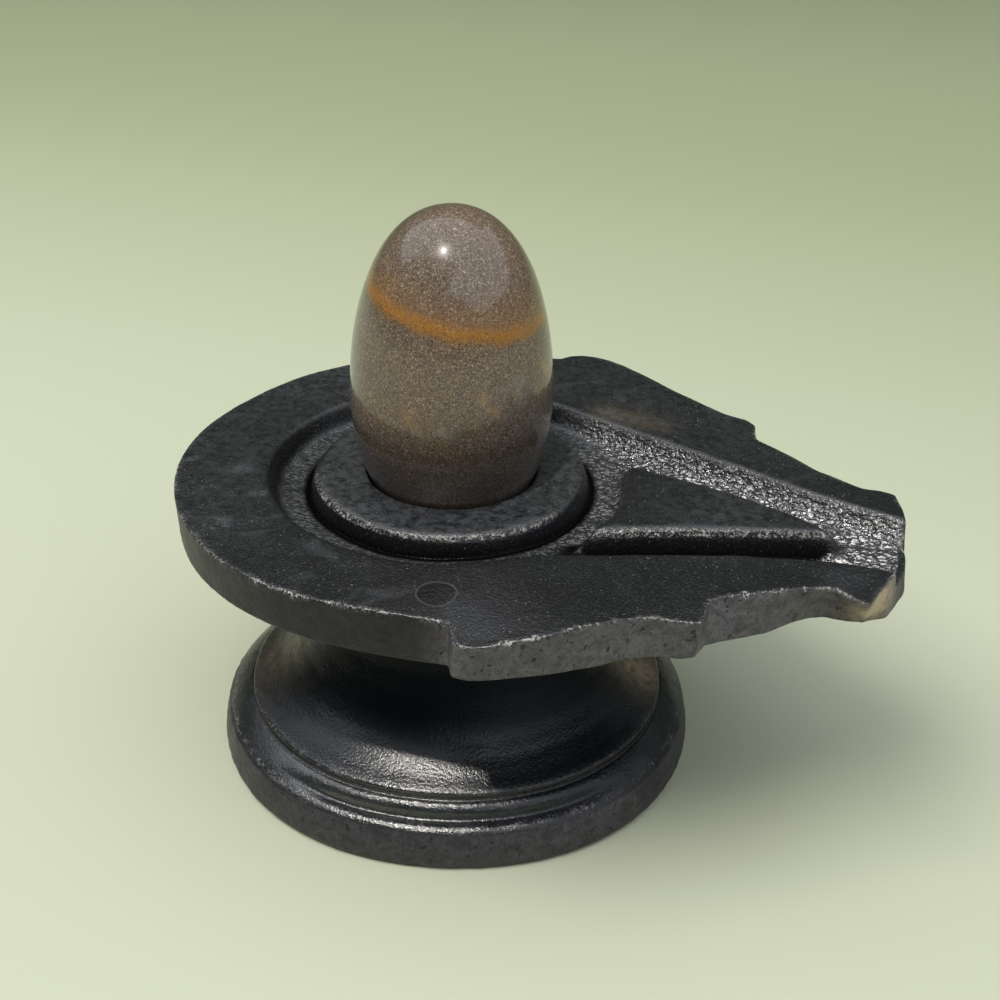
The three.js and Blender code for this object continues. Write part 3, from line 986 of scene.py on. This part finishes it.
# %% The waist and foot
FOOT_COLUMNS = 420
FOOT_FRONT = -72.0
FLATTENED = 0.036
SOCKET_ROWS = 12
SOCKET_BOTTOM_GAP = 0.3


def off_heading(turn, heading):
    """How far a turn in radians is from a heading in degrees: an angle from -pi to pi."""
    return np.angle(np.exp(1j * (turn - np.radians(heading))))


def foot_middle(z):
    """The middle (x, y) of the waist and foot at height z: the block leans, so the middle moves
    in a straight line from FOOT_CENTRE under the plate to FOOT_CENTRE + FOOT_LEAN below."""
    return FOOT_CENTRE + FOOT_LEAN * np.clip(1 - z / PLATE_JOIN_Z, 0, 1)[..., None]


def foot_surface():
    """Points (rows, columns, 3): the profile turned about the foot's middle, a little out of
    round and ground flatter on one side, with the bead fading into the plain slope away from
    the front. The socket's wall follows, down to its bottom about the stone's centre."""
    turn = np.linspace(0, 2 * np.pi, FOOT_COLUMNS, endpoint=False)
    around = np.stack([np.cos(turn), np.sin(turn)], axis=1)
    round_off = 1 + 0.002 * np.cos(2 * turn + 0.6) + 0.001 * np.cos(3 * turn + 2.0)
    from_front = off_heading(turn, FOOT_FRONT)
    round_off -= FLATTENED * near(from_front, 0, np.radians(25))
    plain = 0.4 + 0.6 * ease(np.abs(from_front), np.radians(24), np.radians(50))
    radius = profile[:, :1] + to_slope[:, :1] * plain
    radius = radius * np.where(profile[:, 1:] > 50, 1, round_off[None])
    height = profile[:, 1:] + to_slope[:, 1:] * plain
    plan = foot_middle(height) + radius[..., None] * around[None]
    socket_z = np.linspace(51.5, STONE_BOTTOM_Z + 0.4, SOCKET_ROWS)
    socket_radius = stone_radius(socket_z) + SOCKET_BOTTOM_GAP
    socket_plan = STONE_CENTRE + socket_radius[:, None, None] * around[None]
    return np.concatenate([raised(plan, height), raised(socket_plan, (socket_z - 0.2)[:, None])])


foot_grid = foot_surface()
print("waist and foot:", foot_grid.shape[:2], "rows and columns")

# %% Where the foot is sawn, bare or rubbed
LIP_Z = 13.8
BEAD_Z = 12.3
SHOULDER_RADIUS = 49.2

foot_z = foot_grid[..., 2]
foot_off = foot_grid[..., :2] - foot_middle(foot_z)
foot_turn = np.arctan2(foot_off[..., 1], foot_off[..., 0])
# how far out each row of the profile lies, before its front is ground flatter
row_radius = np.zeros((len(foot_grid), 1))
row_radius[: len(profile), 0] = profile[:, 0]
# painted contact shadow: the lowest half millimetre of the foot is painted black
at_floor = 1 - ease(foot_z, 0.15, 0.80)
on_bell = ease(foot_z, 13.6, 14.2) * (foot_z < 51.6)
on_side = ease(row_radius, 49.4, 50.2) * (1 - ease(foot_z, 7.5, 8.5)) * (1 - at_floor)
foot_marks = 0.04 * ripple(foot_grid, 12, 61) + 0.012 * ripple(foot_grid, 4.0, 62)
foot_marks += (1 - on_bell) * 0.03 * ripple(foot_grid, 5.0, 65)
foot_marks += on_side * 0.05 * ripple(foot_grid, 2.2, 63)
foot_marks *= ease(foot_z, 0.3, 1.2) * (1 - ease(foot_z, 50.0, 51.0))
foot_grid = foot_grid + grid_normals(foot_grid) * foot_marks[..., None]
print("deepest mark:", foot_marks.min().round(3), "highest:", foot_marks.max().round(3), "mm")

# %% Wear and earth on the foot
# painted highlights: the mouldings' edges are painted pale, most of all at the left
BRIGHTEST_EDGES_AT = -112
lip_glint = near(foot_z, LIP_Z, 0.25) * (row_radius > 42)
bead_glint = near(foot_z, BEAD_Z, 0.3) * (row_radius > 43) * (foot_z < 12.7)
shoulder_glint = near(row_radius, SHOULDER_RADIUS, 0.7) * ease(foot_z, 8.3, 8.9)
foot_glint = 0.30 * lip_glint + 0.12 * bead_glint + 0.42 * shoulder_glint
foot_glint *= np.clip(0.6 + 0.6 * ripple(foot_grid, 3.0, 64), 0, 1.2)
from_left = off_heading(foot_turn, BRIGHTEST_EDGES_AT)
foot_glint *= 0.4 + 0.6 * near(from_left, 0, np.radians(36))
EARTH_ON_BELL = [((-33.0, -19.0, 18.5), 6.5, 0.34), ((42.6, 6.5, 16.2), 5.2, 0.58)]
foot_tan = hills(foot_grid, EARTH_ON_BELL) * on_bell
print("strongest wear:", foot_glint.max().round(2), "strongest earth:", foot_tan.max().round(2))

# %% Polish of the foot, and its mesh
# the front of the lower bell and of the mouldings is polished by hands and cloths; the
# waist, which neither reaches, is dull
MOST_HANDLED = -84
in_front = near(off_heading(foot_turn, MOST_HANDLED), 0, np.radians(21))
low_down = 1 - ease(foot_z, 17.0, 23.0)
foot_polish = (0.06 + 0.10 * low_down + 0.32 * low_down * in_front) * (1 - on_side)
on_slope = (1 - ease(foot_z, 12.1, 12.6)) * (1 - on_side) * ease(foot_z, 7.7, 8.3)
foot_polish += 0.40 * on_slope * near(from_left, 0, np.radians(20))
foot_polish = (foot_polish + on_side * 0.16) * (1 - at_floor)
# the foot's side takes 0.4 of the paler sawn colour
none = np.zeros(foot_z.shape)
foot = grid_mesh(
    "waist_and_foot",
    foot_grid,
    {
        "wall": at_floor,
        "hammer": none,
        "painted_glint": none,
        "dust_and_sheen": none,
        "painted_lit_side": none + 0.40,
        "polish": foot_polish,
        "side": on_side,
        "wear_and_glint": foot_glint,
        "tan": foot_tan,
        "gloss": np.maximum(on_bell, 0.6 * (1 - on_side) * (1 - at_floor)),
    },
    first_pole=(*(FOOT_CENTRE + FOOT_LEAN), 0.0),
    last_pole=(*STONE_CENTRE, STONE_BOTTOM_Z - SOCKET_BOTTOM_GAP),
)

# %% [markdown]
# ## Material of the base
#
# The base is a fine dark stone, rubbed with oil: nearly black where it was rubbed, grey and
# dull on its sawn sides, and glittering in the punched floors, where glints are painted on the
# dents' crests. The walls of the cuts and the foot's lowest strip are painted nearly black as
# shade; the spout's front side is painted paler as lit, and the edges pale as wear and
# highlights. Brown shows where corners have worn through. One material does it all, and the
# numbers kept in the mesh say where each finish lies. Patterns read Object coordinates, in
# metres, so a scale of 1000 means about a millimetre.


# %% Small helpers for nodes and colours
def new_material(name):
    """An empty node material with its surface shader; returns it with a function that adds a
    node and one that links two sockets. The helpers below use the pair that came last."""
    material = bpy.data.materials.new(name)
    material.use_nodes = True
    nodes, links = material.node_tree.nodes, material.node_tree.links
    shader = nodes["Principled BSDF"]

    def add(kind, **settings):
        node = nodes.new(kind)
        for key, value in settings.items():
            if key in node.inputs:
                node.inputs[key].default_value = value
            else:
                setattr(node, key, value)
        return node

    return material, shader, add, links.new


def feed(socket, value):
    """Links another socket into this one, or sets this one to a plain value."""
    if isinstance(value, bpy.types.NodeSocket):
        link(value, socket)
    else:
        socket.default_value = value


def mixer(factor, first, second, blend="MIX"):
    """A colour mix; each argument is a socket, or else a plain share or colour."""
    node = add("ShaderNodeMix", data_type="RGBA", blend_type=blend)
    for slot_number, value in ((0, factor), (6, first), (7, second)):
        feed(node.inputs[slot_number], (*value, 1) if isinstance(value, tuple) else value)
    return node.outputs[2]


def layered(colour, *layers):
    """Colours laid over one another; each layer is its mask and its colour."""
    for mask, over in layers:
        colour = mixer(mask, colour, over)
    return colour


# %% Small helpers for numbers and patterns
def maths(operation, *values, clamp=False):
    """A Math node on sockets or plain numbers."""
    node = add("ShaderNodeMath", operation=operation, use_clamp=clamp)
    for socket, value in zip(node.inputs, values):
        feed(socket, value)
    return node.outputs[0]


def scaled(value, factor, extra, clamp=False):
    """value times factor, plus extra."""
    return maths("MULTIPLY_ADD", value, factor, extra, clamp=clamp)


def product(first, *others):
    """Sockets multiplied together, kept within 0..1."""
    for value in others:
        first = maths("MULTIPLY", first, value, clamp=True)
    return first


def spread(value, low, high, to_low=0.0, to_high=1.0):
    """Maps low..high to to_low..to_high along a smooth S."""
    node = add("ShaderNodeMapRange", interpolation_type="SMOOTHSTEP")
    for socket, amount in zip(node.inputs, (value, low, high, to_low, to_high)):
        feed(socket, amount)
    return node.outputs[0]


def noise(scale, detail=4.0, roughness=0.55, distortion=0.0):
    """Noise on Object coordinates."""
    node = add("ShaderNodeTexNoise", Scale=scale, Detail=detail, Roughness=roughness)
    node.inputs["Distortion"].default_value = distortion
    link(place, node.inputs["Vector"])
    return node.outputs["Fac"]


def kept(name):
    """A number that the mesh keeps for each point."""
    return add("ShaderNodeAttribute", attribute_name=name).outputs["Fac"]


def relief(height, strength, depth, below=None):
    """A Bump node: `height` in 0..1 stands for `depth` mm of relief."""
    node = add("ShaderNodeBump", Distance=depth * MM)
    link(height, node.inputs["Height"])
    feed(node.inputs["Strength"], strength)
    if below is not None:
        link(below, node.inputs["Normal"])
    return node.outputs["Normal"]


# %% The dark stone: patterns and what the mesh keeps
base_material, base_shader, add, link = new_material("oiled_black_stone")
place = add("ShaderNodeTexCoord").outputs["Object"]

fine = noise(1700, 2.0, 0.65)
grain = noise(520, 3.0, 0.65)
cloud = noise(95, 3.0, 0.6, 0.8)
broad = noise(26, 2.0, 0.5)
swirl = noise(340, 3.0, 0.65, 1.0)
glint_speck_noise = noise(2600, 2.0, 0.5)
# from here on these names mean the numbers as the material reads them back from the mesh
wall, gloss, side = kept("wall"), kept("gloss"), kept("side")
painted_lit_side, hammer, wear_and_glint = kept("painted_lit_side"), kept("hammer"), kept("wear_and_glint")
print("patterns:", sum(node.type == "TEX_NOISE" for node in base_material.node_tree.nodes))

# %% The dark stone: one dried drop
# one drop dried on the front of the disc and left an oval with a thin pale edge
DROP_AT = (15.2, -45.7, 61.1)
DROP_SIZE = (3.8, 3.8, 3.0)
DROP_EDGE = 1.15
in_drop = add("ShaderNodeMapping", vector_type="TEXTURE")
link(place, in_drop.inputs["Vector"])
in_drop.inputs["Location"].default_value = np.array(DROP_AT) * MM
in_drop.inputs["Scale"].default_value = np.array(DROP_SIZE) * MM
from_drop = add("ShaderNodeVectorMath", operation="LENGTH")
link(in_drop.outputs[0], from_drop.inputs[0])
from_drop = scaled(cloud, 0.35, from_drop.outputs["Value"])
drop_edge = maths("ABSOLUTE", maths("SUBTRACT", from_drop, DROP_EDGE))
print("dried drop at", DROP_AT, "mm")

# %% The dark stone: rubbed top, waist and foot
RUBBED = (0.0075, 0.0080, 0.0092)
SMEAR = (0.030, 0.032, 0.036)
DUST_AND_SHEEN = (0.048, 0.051, 0.056)
GLINT_SPECK = (0.28, 0.28, 0.27)
# nearly black: painted shade on the walls of the cuts and the foot's lowest strip, and the dried
# drop's dark inside
SHADE_AND_STAIN_BLACK = (0.0010, 0.0010, 0.0011)
BELL = (0.0050, 0.0067, 0.0112)

smears = product(spread(cloud, 0.54, 0.70, 0.0, 0.85), spread(broad, 0.38, 0.55))
dust_and_sheen = product(kept("dust_and_sheen"), spread(noise(480, 4.0, 0.75), 0.32, 0.68))
colour = layered(
    RUBBED,
    (smears, SMEAR),
    # dust, and on the collar a painted sheen
    (dust_and_sheen, DUST_AND_SHEEN),
    (spread(fine, 0.50, 0.72, 0.0, 0.6), SMEAR),
    # pale specks painted as tiny glints over the rubbed stone
    (spread(glint_speck_noise, 0.70, 0.74, 0.0, 0.9), GLINT_SPECK),
    (spread(from_drop, 1.10, 1.16, 0.75, 0.0), SHADE_AND_STAIN_BLACK),
    (spread(drop_edge, 0.02, 0.09, 0.7, 0.0), DUST_AND_SHEEN),
    # painted shade: the walls of the cuts and the foot's lowest strip are painted nearly black
    (wall, SHADE_AND_STAIN_BLACK),
    (gloss, BELL),
)
print("rubbed stone:", len(base_material.node_tree.nodes), "nodes so far")

# %% The dark stone: sawn sides
SAWN = (0.0078, 0.0072, 0.0100)
SAWN_PALE = (0.021, 0.0190, 0.0260)
SAWN_LIT = (0.050, 0.045, 0.054)
SAWN_LIT_PALE = (0.116, 0.110, 0.122)
PIT = (0.012, 0.012, 0.013)

sanding = spread(scaled(fine, 0.5, swirl), 0.52, 1.02)
sawn = mixer(sanding, SAWN, SAWN_PALE)
painted_lit_sawn = mixer(sanding, SAWN_LIT, SAWN_LIT_PALE)
side_mask = product(side, spread(broad, 0.2, 0.5, 0.8, 1.0))
pit_mask = product(side, spread(noise(800, 2.0), 0.62, 0.68))
# the spout's front side takes the paler sawn colours, painted as lit
colour = layered(colour, (side_mask, mixer(painted_lit_side, sawn, painted_lit_sawn)), (pit_mask, PIT))
print("sawn stone:", len(base_material.node_tree.nodes), "nodes so far")

# %% The dark stone: punched floors, with painted glints
# each dent is a cell about 0.8 mm across, drawn out along the spout and bent out of true
DENTS_PER_METRE = 1250.0
DENT_STRETCH = (0.62, 1.0, 0.8)
DENT_BEND = 1.1 * MM
HAMMERED = (0.009, 0.009, 0.0095)
GLINT_WHITE = (0.98, 0.95, 0.93)

warp = add("ShaderNodeTexNoise", Scale=900.0, Detail=1.0)
link(place, warp.inputs["Vector"])
drawn_out = add("ShaderNodeMapping")
drawn_out.inputs["Scale"].default_value = DENT_STRETCH
link(place, drawn_out.inputs["Vector"])
bent = add("ShaderNodeVectorMath", operation="MULTIPLY_ADD")
link(warp.outputs["Color"], bent.inputs[0])
bent.inputs[1].default_value = (DENT_BEND,) * 3
link(drawn_out.outputs[0], bent.inputs[2])
dent = add("ShaderNodeTexVoronoi", Scale=DENTS_PER_METRE)
link(bent.outputs[0], dent.inputs["Vector"])
from_dent = dent.outputs["Distance"]
# the dents' crests are painted pale as glints, most of all towards the mouth and in the back
# channel
crests = spread(from_dent, 0.29, 0.49, 1.0, 0.0)
dent_height = spread(from_dent, 0.0, 0.75, 1.0, 0.0)
lit_share = scaled(kept("painted_glint"), 0.84, 0.16, clamp=True)
glint = spread(grain, 0.37, 0.55, 0.22, 1.0)
hammered_with_glints = mixer(product(crests, lit_share, glint), HAMMERED, GLINT_WHITE)
print("dents about", round(1 / DENTS_PER_METRE / MM, 2), "mm across")

# %% The dark stone: earth, and edges painted pale as wear and highlights
PALE_CHIP_GLINT = (0.38, 0.37, 0.35)
EARTH = (0.48, 0.37, 0.25)

earth_mask = product(kept("tan"), spread(grain, 0.3, 0.62, 0.55, 1.2))
wear_and_glint_mask = product(wear_and_glint, spread(noise(1700, 3.0, 0.7), 0.48, 0.60, 0.0, 1.2))
# edges are painted pale, partly as wear and partly as painted highlights
colour = layered(colour, (hammer, hammered_with_glints), (earth_mask, EARTH), (wear_and_glint_mask, PALE_CHIP_GLINT))
link(colour, base_shader.inputs["Base Color"])
print("colour:", len(base_material.node_tree.nodes), "nodes so far")

# %% Shine and grain of the dark stone
shine = scaled(cloud, 0.20, 0.19)
for mask, change in ((wall, -0.08), (hammer, -0.05), (side_mask, 0.14)):
    shine = scaled(mask, change, shine)
link(scaled(wear_and_glint_mask, -0.12, shine, clamp=True), base_shader.inputs["Roughness"])

facing = None
for height, strength, depth in (
    (grain, scaled(gloss, -0.33, 0.36), 0.30),
    (fine, scaled(gloss, -0.12, 0.60), 0.26),
    (swirl, product(side_mask, scaled(painted_lit_side, 0.6, 0.4)), 0.3),
    (dent_height, hammer, 0.7),
    (noise(1000, 3.0, 0.7), wear_and_glint, 0.5),
):
    facing = relief(height, strength, depth, facing)
link(facing, base_shader.inputs["Normal"])
link(kept("polish"), base_shader.inputs["Specular IOR Level"])
base_shader.inputs["IOR"].default_value = 1.8
print("base material:", len(base_material.node_tree.nodes), "nodes")

# %% [markdown]
# ## Material of the standing stone
#
# Under the polish lie countless sand grains, pale and dark, in a brown-grey ground. The rusty
# band has soft, grainy edges, and a fainter rusty haze lies above it and in a few patches
# lower down. The polish is a clear coat: smooth, with the faintest of hairlines.

# %% The banded stone: ground and sand grains
GROUND = (0.140, 0.099, 0.068)
GROUND_COOL = (0.118, 0.091, 0.071)
GROUND_WARM = (0.158, 0.098, 0.048)
PALE_GRAIN = (0.44, 0.34, 0.25)
DARK_GRAIN = (0.038, 0.027, 0.020)

stone_material, stone_shader, add, link = new_material("polished_banded_stone")
place = add("ShaderNodeTexCoord").outputs["Object"]
sand = noise(2500, 2.0, 0.6, 1.5)
sand_fine = noise(3900, 2.0, 0.6, 1.2)
patch = noise(45, 4.0, 0.6, 0.6)
wander = noise(160, 4.0, 0.65)
tint = noise(90, 3.0, 0.55)

colour = layered(
    GROUND,
    (spread(patch, 0.35, 0.6), GROUND_COOL),
    (spread(tint, 0.56, 0.72, 0.0, 0.55), GROUND_WARM),
    (spread(sand, 0.58, 0.64, 0.0, 0.78), PALE_GRAIN),
    (spread(sand, 0.43, 0.37, 0.0, 0.92), DARK_GRAIN),
    (spread(sand_fine, 0.61, 0.67, 0.0, 0.78), PALE_GRAIN),
)
print("sand and ground:", len(stone_material.node_tree.nodes), "nodes so far")

# %% The banded stone: rust
# the distance from the rusty sheet is disturbed by noise, which makes the band's edges grainy
RUST = (0.34, 0.148, 0.022)
OCHRE = (0.40, 0.22, 0.06)
PALE_SPOT = (0.24, 0.215, 0.185)

stray = scaled(wander, 3.0, -1.5)
scatter = scaled(sand, 4.4, -2.2)
off_sheet = maths("ADD", maths("ADD", kept("band"), stray), scatter)
in_band = spread(maths("ABSOLUTE", off_sheet), 0.2, 2.3, 1.0, 0.0)
haze = maths("MULTIPLY", spread(off_sheet, 0.0, 8.0, 0.30, 0.0), spread(off_sheet, -1.0, 0.5))
rust_grain = spread(sand_fine, 0.35, 0.58, 0.30, 1.0)
rust_mask = maths("MULTIPLY", maths("MAXIMUM", in_band, haze), rust_grain, clamp=True)
spot_grain = spread(noise(330, 4.0, 0.65, 0.5), 0.38, 0.60)
colour = layered(
    colour,
    (rust_mask, RUST),
    (spread(sand_fine, 0.43, 0.36, 0.0, 0.55), DARK_GRAIN),
    (product(kept("pale"), spot_grain), PALE_SPOT),
    (product(kept("iron"), spot_grain), OCHRE),
)
print("with rust:", len(stone_material.node_tree.nodes), "nodes so far")

# %% The banded stone: painted shade at the root, and polish
# painted shade and painted reflection of the dark plate: the root of the stone is painted darker
# and cooler, higher up on one side
ROOT_SHADE = (0.22, 0.245, 0.29)
ROOT_SHADE_LEAN = -0.22
COAT = {
    "Roughness": 0.26,
    "Specular IOR Level": 0.22,
    "Coat Weight": 0.68,
    "Coat Roughness": 0.055,
    "Coat IOR": 1.5,
}

along = add("ShaderNodeSeparateXYZ")
link(place, along.inputs[0])
above_root_shade = scaled(along.outputs["X"], ROOT_SHADE_LEAN, along.outputs["Z"])
root_shade = spread(above_root_shade, 0.066, 0.086, 0.70, 0.0)
link(mixer(root_shade, colour, ROOT_SHADE, "MULTIPLY"), stone_shader.inputs["Base Color"])
for socket_name, value in COAT.items():
    stone_shader.inputs[socket_name].default_value = value
hairlines = relief(noise(600, 3.0, 0.6), 0.06, 0.08)
link(hairlines, stone_shader.inputs["Coat Normal"])
print("stone material:", len(stone_material.node_tree.nodes), "nodes")

# %% [markdown]
# ## Handing the pieces over
#
# Each piece takes its finish and rides with the object's one body, and the frame's own
# solids are hidden.

# %% Finish, frame and body
for piece, material in ((stone, stone_material), (plate, base_material), (foot, base_material)):
    piece.data.materials.append(material)
    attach(piece, "root")
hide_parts("lingam_stone")
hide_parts("yoni_base")
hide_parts("yoni_base")

# %% [markdown]
# ## Floor, light and camera
#
# A pale, slightly green tabletop runs back far enough to fill the view and turn up softly
# behind. Two wide panels hang over the table, one to the left and one to the right, and the
# polished stone mirrors them. A small key light above the front gives the stones their crisp
# glints and throws the plate's sharp shadow on the foot; it shines on the three pieces alone.
# A larger soft light from the front left shines on the table alone, so that the shadow there
# stays soft.

# %% Floor and backdrop
FLOOR_NEAR = 3.0
BACKDROP_AT = 2.6
BACKDROP_BEND = 0.9
BACKDROP_TOP = 3.0
HALF_WIDTH = 4
CAMERA_TURN = np.radians(19.2)
FLOOR_COLOUR = (0.548, 0.568, 0.425)
FAR_COLOUR = (0.387, 0.422, 0.258)


def backdrop():
    """A sheet that runs flat from front to back and then curves up, as a grid: the path is a
    line, a quarter circle and a line, carried sideways."""
    bend = np.linspace(0, np.pi / 2, 24)
    ahead = BACKDROP_AT + BACKDROP_BEND * np.sin(bend)
    bend_path = np.stack([ahead, BACKDROP_BEND * (1 - np.cos(bend))], axis=1)
    last = [BACKDROP_AT + BACKDROP_BEND, BACKDROP_TOP]
    path = np.vstack([[-FLOOR_NEAR, 0], bend_path, last])
    across = np.array([-HALF_WIDTH, 0, HALF_WIDTH])
    away = np.array([-np.sin(CAMERA_TURN), np.cos(CAMERA_TURN)])
    beside = np.array([np.cos(CAMERA_TURN), np.sin(CAMERA_TURN)])
    plan = path[:, None, :1] * away + across[None, :, None] * beside
    grid = raised(plan, path[:, 1][:, None])
    index = np.arange(len(path) * 3).reshape(-1, 3)
    faces = np.stack([index[:-1, :-1], index[:-1, 1:], index[1:, 1:], index[1:, :-1]], axis=-1)
    return mesh_piece("floor", grid.reshape(-1, 3) / MM, faces.reshape(-1, 4).tolist(), {})


floor = backdrop()
floor_material, floor_shader, add, link = new_material("pale_floor")
far = add("ShaderNodeSeparateXYZ")
link(add("ShaderNodeTexCoord").outputs["Object"], far.inputs[0])
fade = spread(far.outputs["Y"], -0.04, 0.50)
link(mixer(fade, FLOOR_COLOUR, FAR_COLOUR), floor_shader.inputs["Base Color"])
floor_shader.inputs["Roughness"].default_value = 0.9
floor_shader.inputs["Specular IOR Level"].default_value = 0.1
floor.data.materials.append(floor_material)


# %% Lights
# places and sizes in metres, power in watts
HANGING_HEIGHT = 1.25
AIMED_AT = np.array([0, 0, 0.06])
DAYLIGHT = (0.88, 0.93, 1.0)
WARM = (1.0, 0.945, 0.865)
SOFT_WARM = (1.0, 0.98, 0.92)


def lamp_at(name, location, size, power, tint):
    """An area light at a place in metres, shining straight down: round if it is smaller than
    half a metre, else a rectangle."""
    lamp = bpy.data.lights.new(name, "AREA")
    lamp.shape = "RECTANGLE" if size[0] > 0.5 else "ELLIPSE"
    lamp.size, lamp.size_y = size
    lamp.energy = power
    lamp.color = tint
    item = bpy.data.objects.new(name, lamp)
    item.location = location
    bpy.context.scene.collection.objects.link(item)
    return item


def soft_light(name, heading, elevation, distance, size, power, tint):
    """A panel at the given heading and elevation in degrees, aimed at the plate."""
    h, e = np.radians(heading), np.radians(elevation)
    toward = np.array([np.cos(e) * np.cos(h), np.cos(e) * np.sin(h), np.sin(e)])
    item = lamp_at(name, toward * distance + AIMED_AT, size, power, tint)
    item.rotation_euler = Vector((-toward).tolist()).to_track_quat("-Z", "Y").to_euler()
    return item


def shine_only_on(light, name, pieces):
    """Keeps a light to the given pieces alone, through a collection of what it reaches."""
    reached = bpy.data.collections.new(name)
    for piece in pieces:
        reached.objects.link(piece)
    light.light_linking.receiver_collection = reached


key = soft_light("key", -95, 65.2, 1.6, (0.07, 0.07), 18.0, WARM)
lamp_at("overhead", (-0.75, 0.0, HANGING_HEIGHT), (2.5, 1.5), 16.0, DAYLIGHT)
lamp_at("right panel", (2.1, -0.2, HANGING_HEIGHT), (3.2, 3.4), 38.0, DAYLIGHT)
table_light = soft_light("table light", -132, 60, 1.4, (0.9, 0.9), 15.0, SOFT_WARM)
shine_only_on(key, "lit_by_key", (stone, plate, foot))
shine_only_on(table_light, "lit_table", (floor,))

# %% The light of the room
AIR_COLOUR = (0.60, 0.64, 0.58, 1)
AIR_STRENGTH = 0.12
world = bpy.data.worlds.new("studio")
world.use_nodes = True
air = world.node_tree.nodes["Background"]
air.inputs["Color"].default_value = AIR_COLOUR
air.inputs["Strength"].default_value = AIR_STRENGTH
bpy.context.scene.world = world
bpy.context.scene.view_settings.view_transform = "Standard"
print("air:", AIR_STRENGTH)

# %% Camera
CAMERA_AT = np.array([96.4, -245.1, 202.6]) * MM
CAMERA_TILT = np.radians(29.62)
CAMERA_ROLL = np.radians(1.084)
SENSOR_WIDTH = 36.0
LENS = 51.65


def camera_axes():
    """Right, up and back axes of a camera that looks along +Y turned left by CAMERA_TURN and
    down by CAMERA_TILT, then rolled about its own axis."""
    sa, ca = np.sin(CAMERA_TURN), np.cos(CAMERA_TURN)
    se, ce = np.sin(CAMERA_TILT), np.cos(CAMERA_TILT)
    back = np.array([sa * ce, -ca * ce, se])
    right = np.array([ca, sa, 0])
    up = np.cross(back, right)
    sr, cr = np.sin(CAMERA_ROLL), np.cos(CAMERA_ROLL)
    return cr * right + sr * up, cr * up - sr * right, back


camera_data = bpy.data.cameras.new("camera")
camera_data.sensor_width = SENSOR_WIDTH
camera_data.lens = LENS
camera = bpy.data.objects.new("camera", camera_data)
axes = np.eye(4)
axes[:3, 0], axes[:3, 1], axes[:3, 2] = camera_axes()
axes[:3, 3] = CAMERA_AT
camera.matrix_world = Matrix(axes.tolist())
bpy.context.scene.collection.objects.link(camera)
bpy.context.scene.camera = camera
print("camera at", CAMERA_AT.round(4), "m, lens", LENS, "mm")
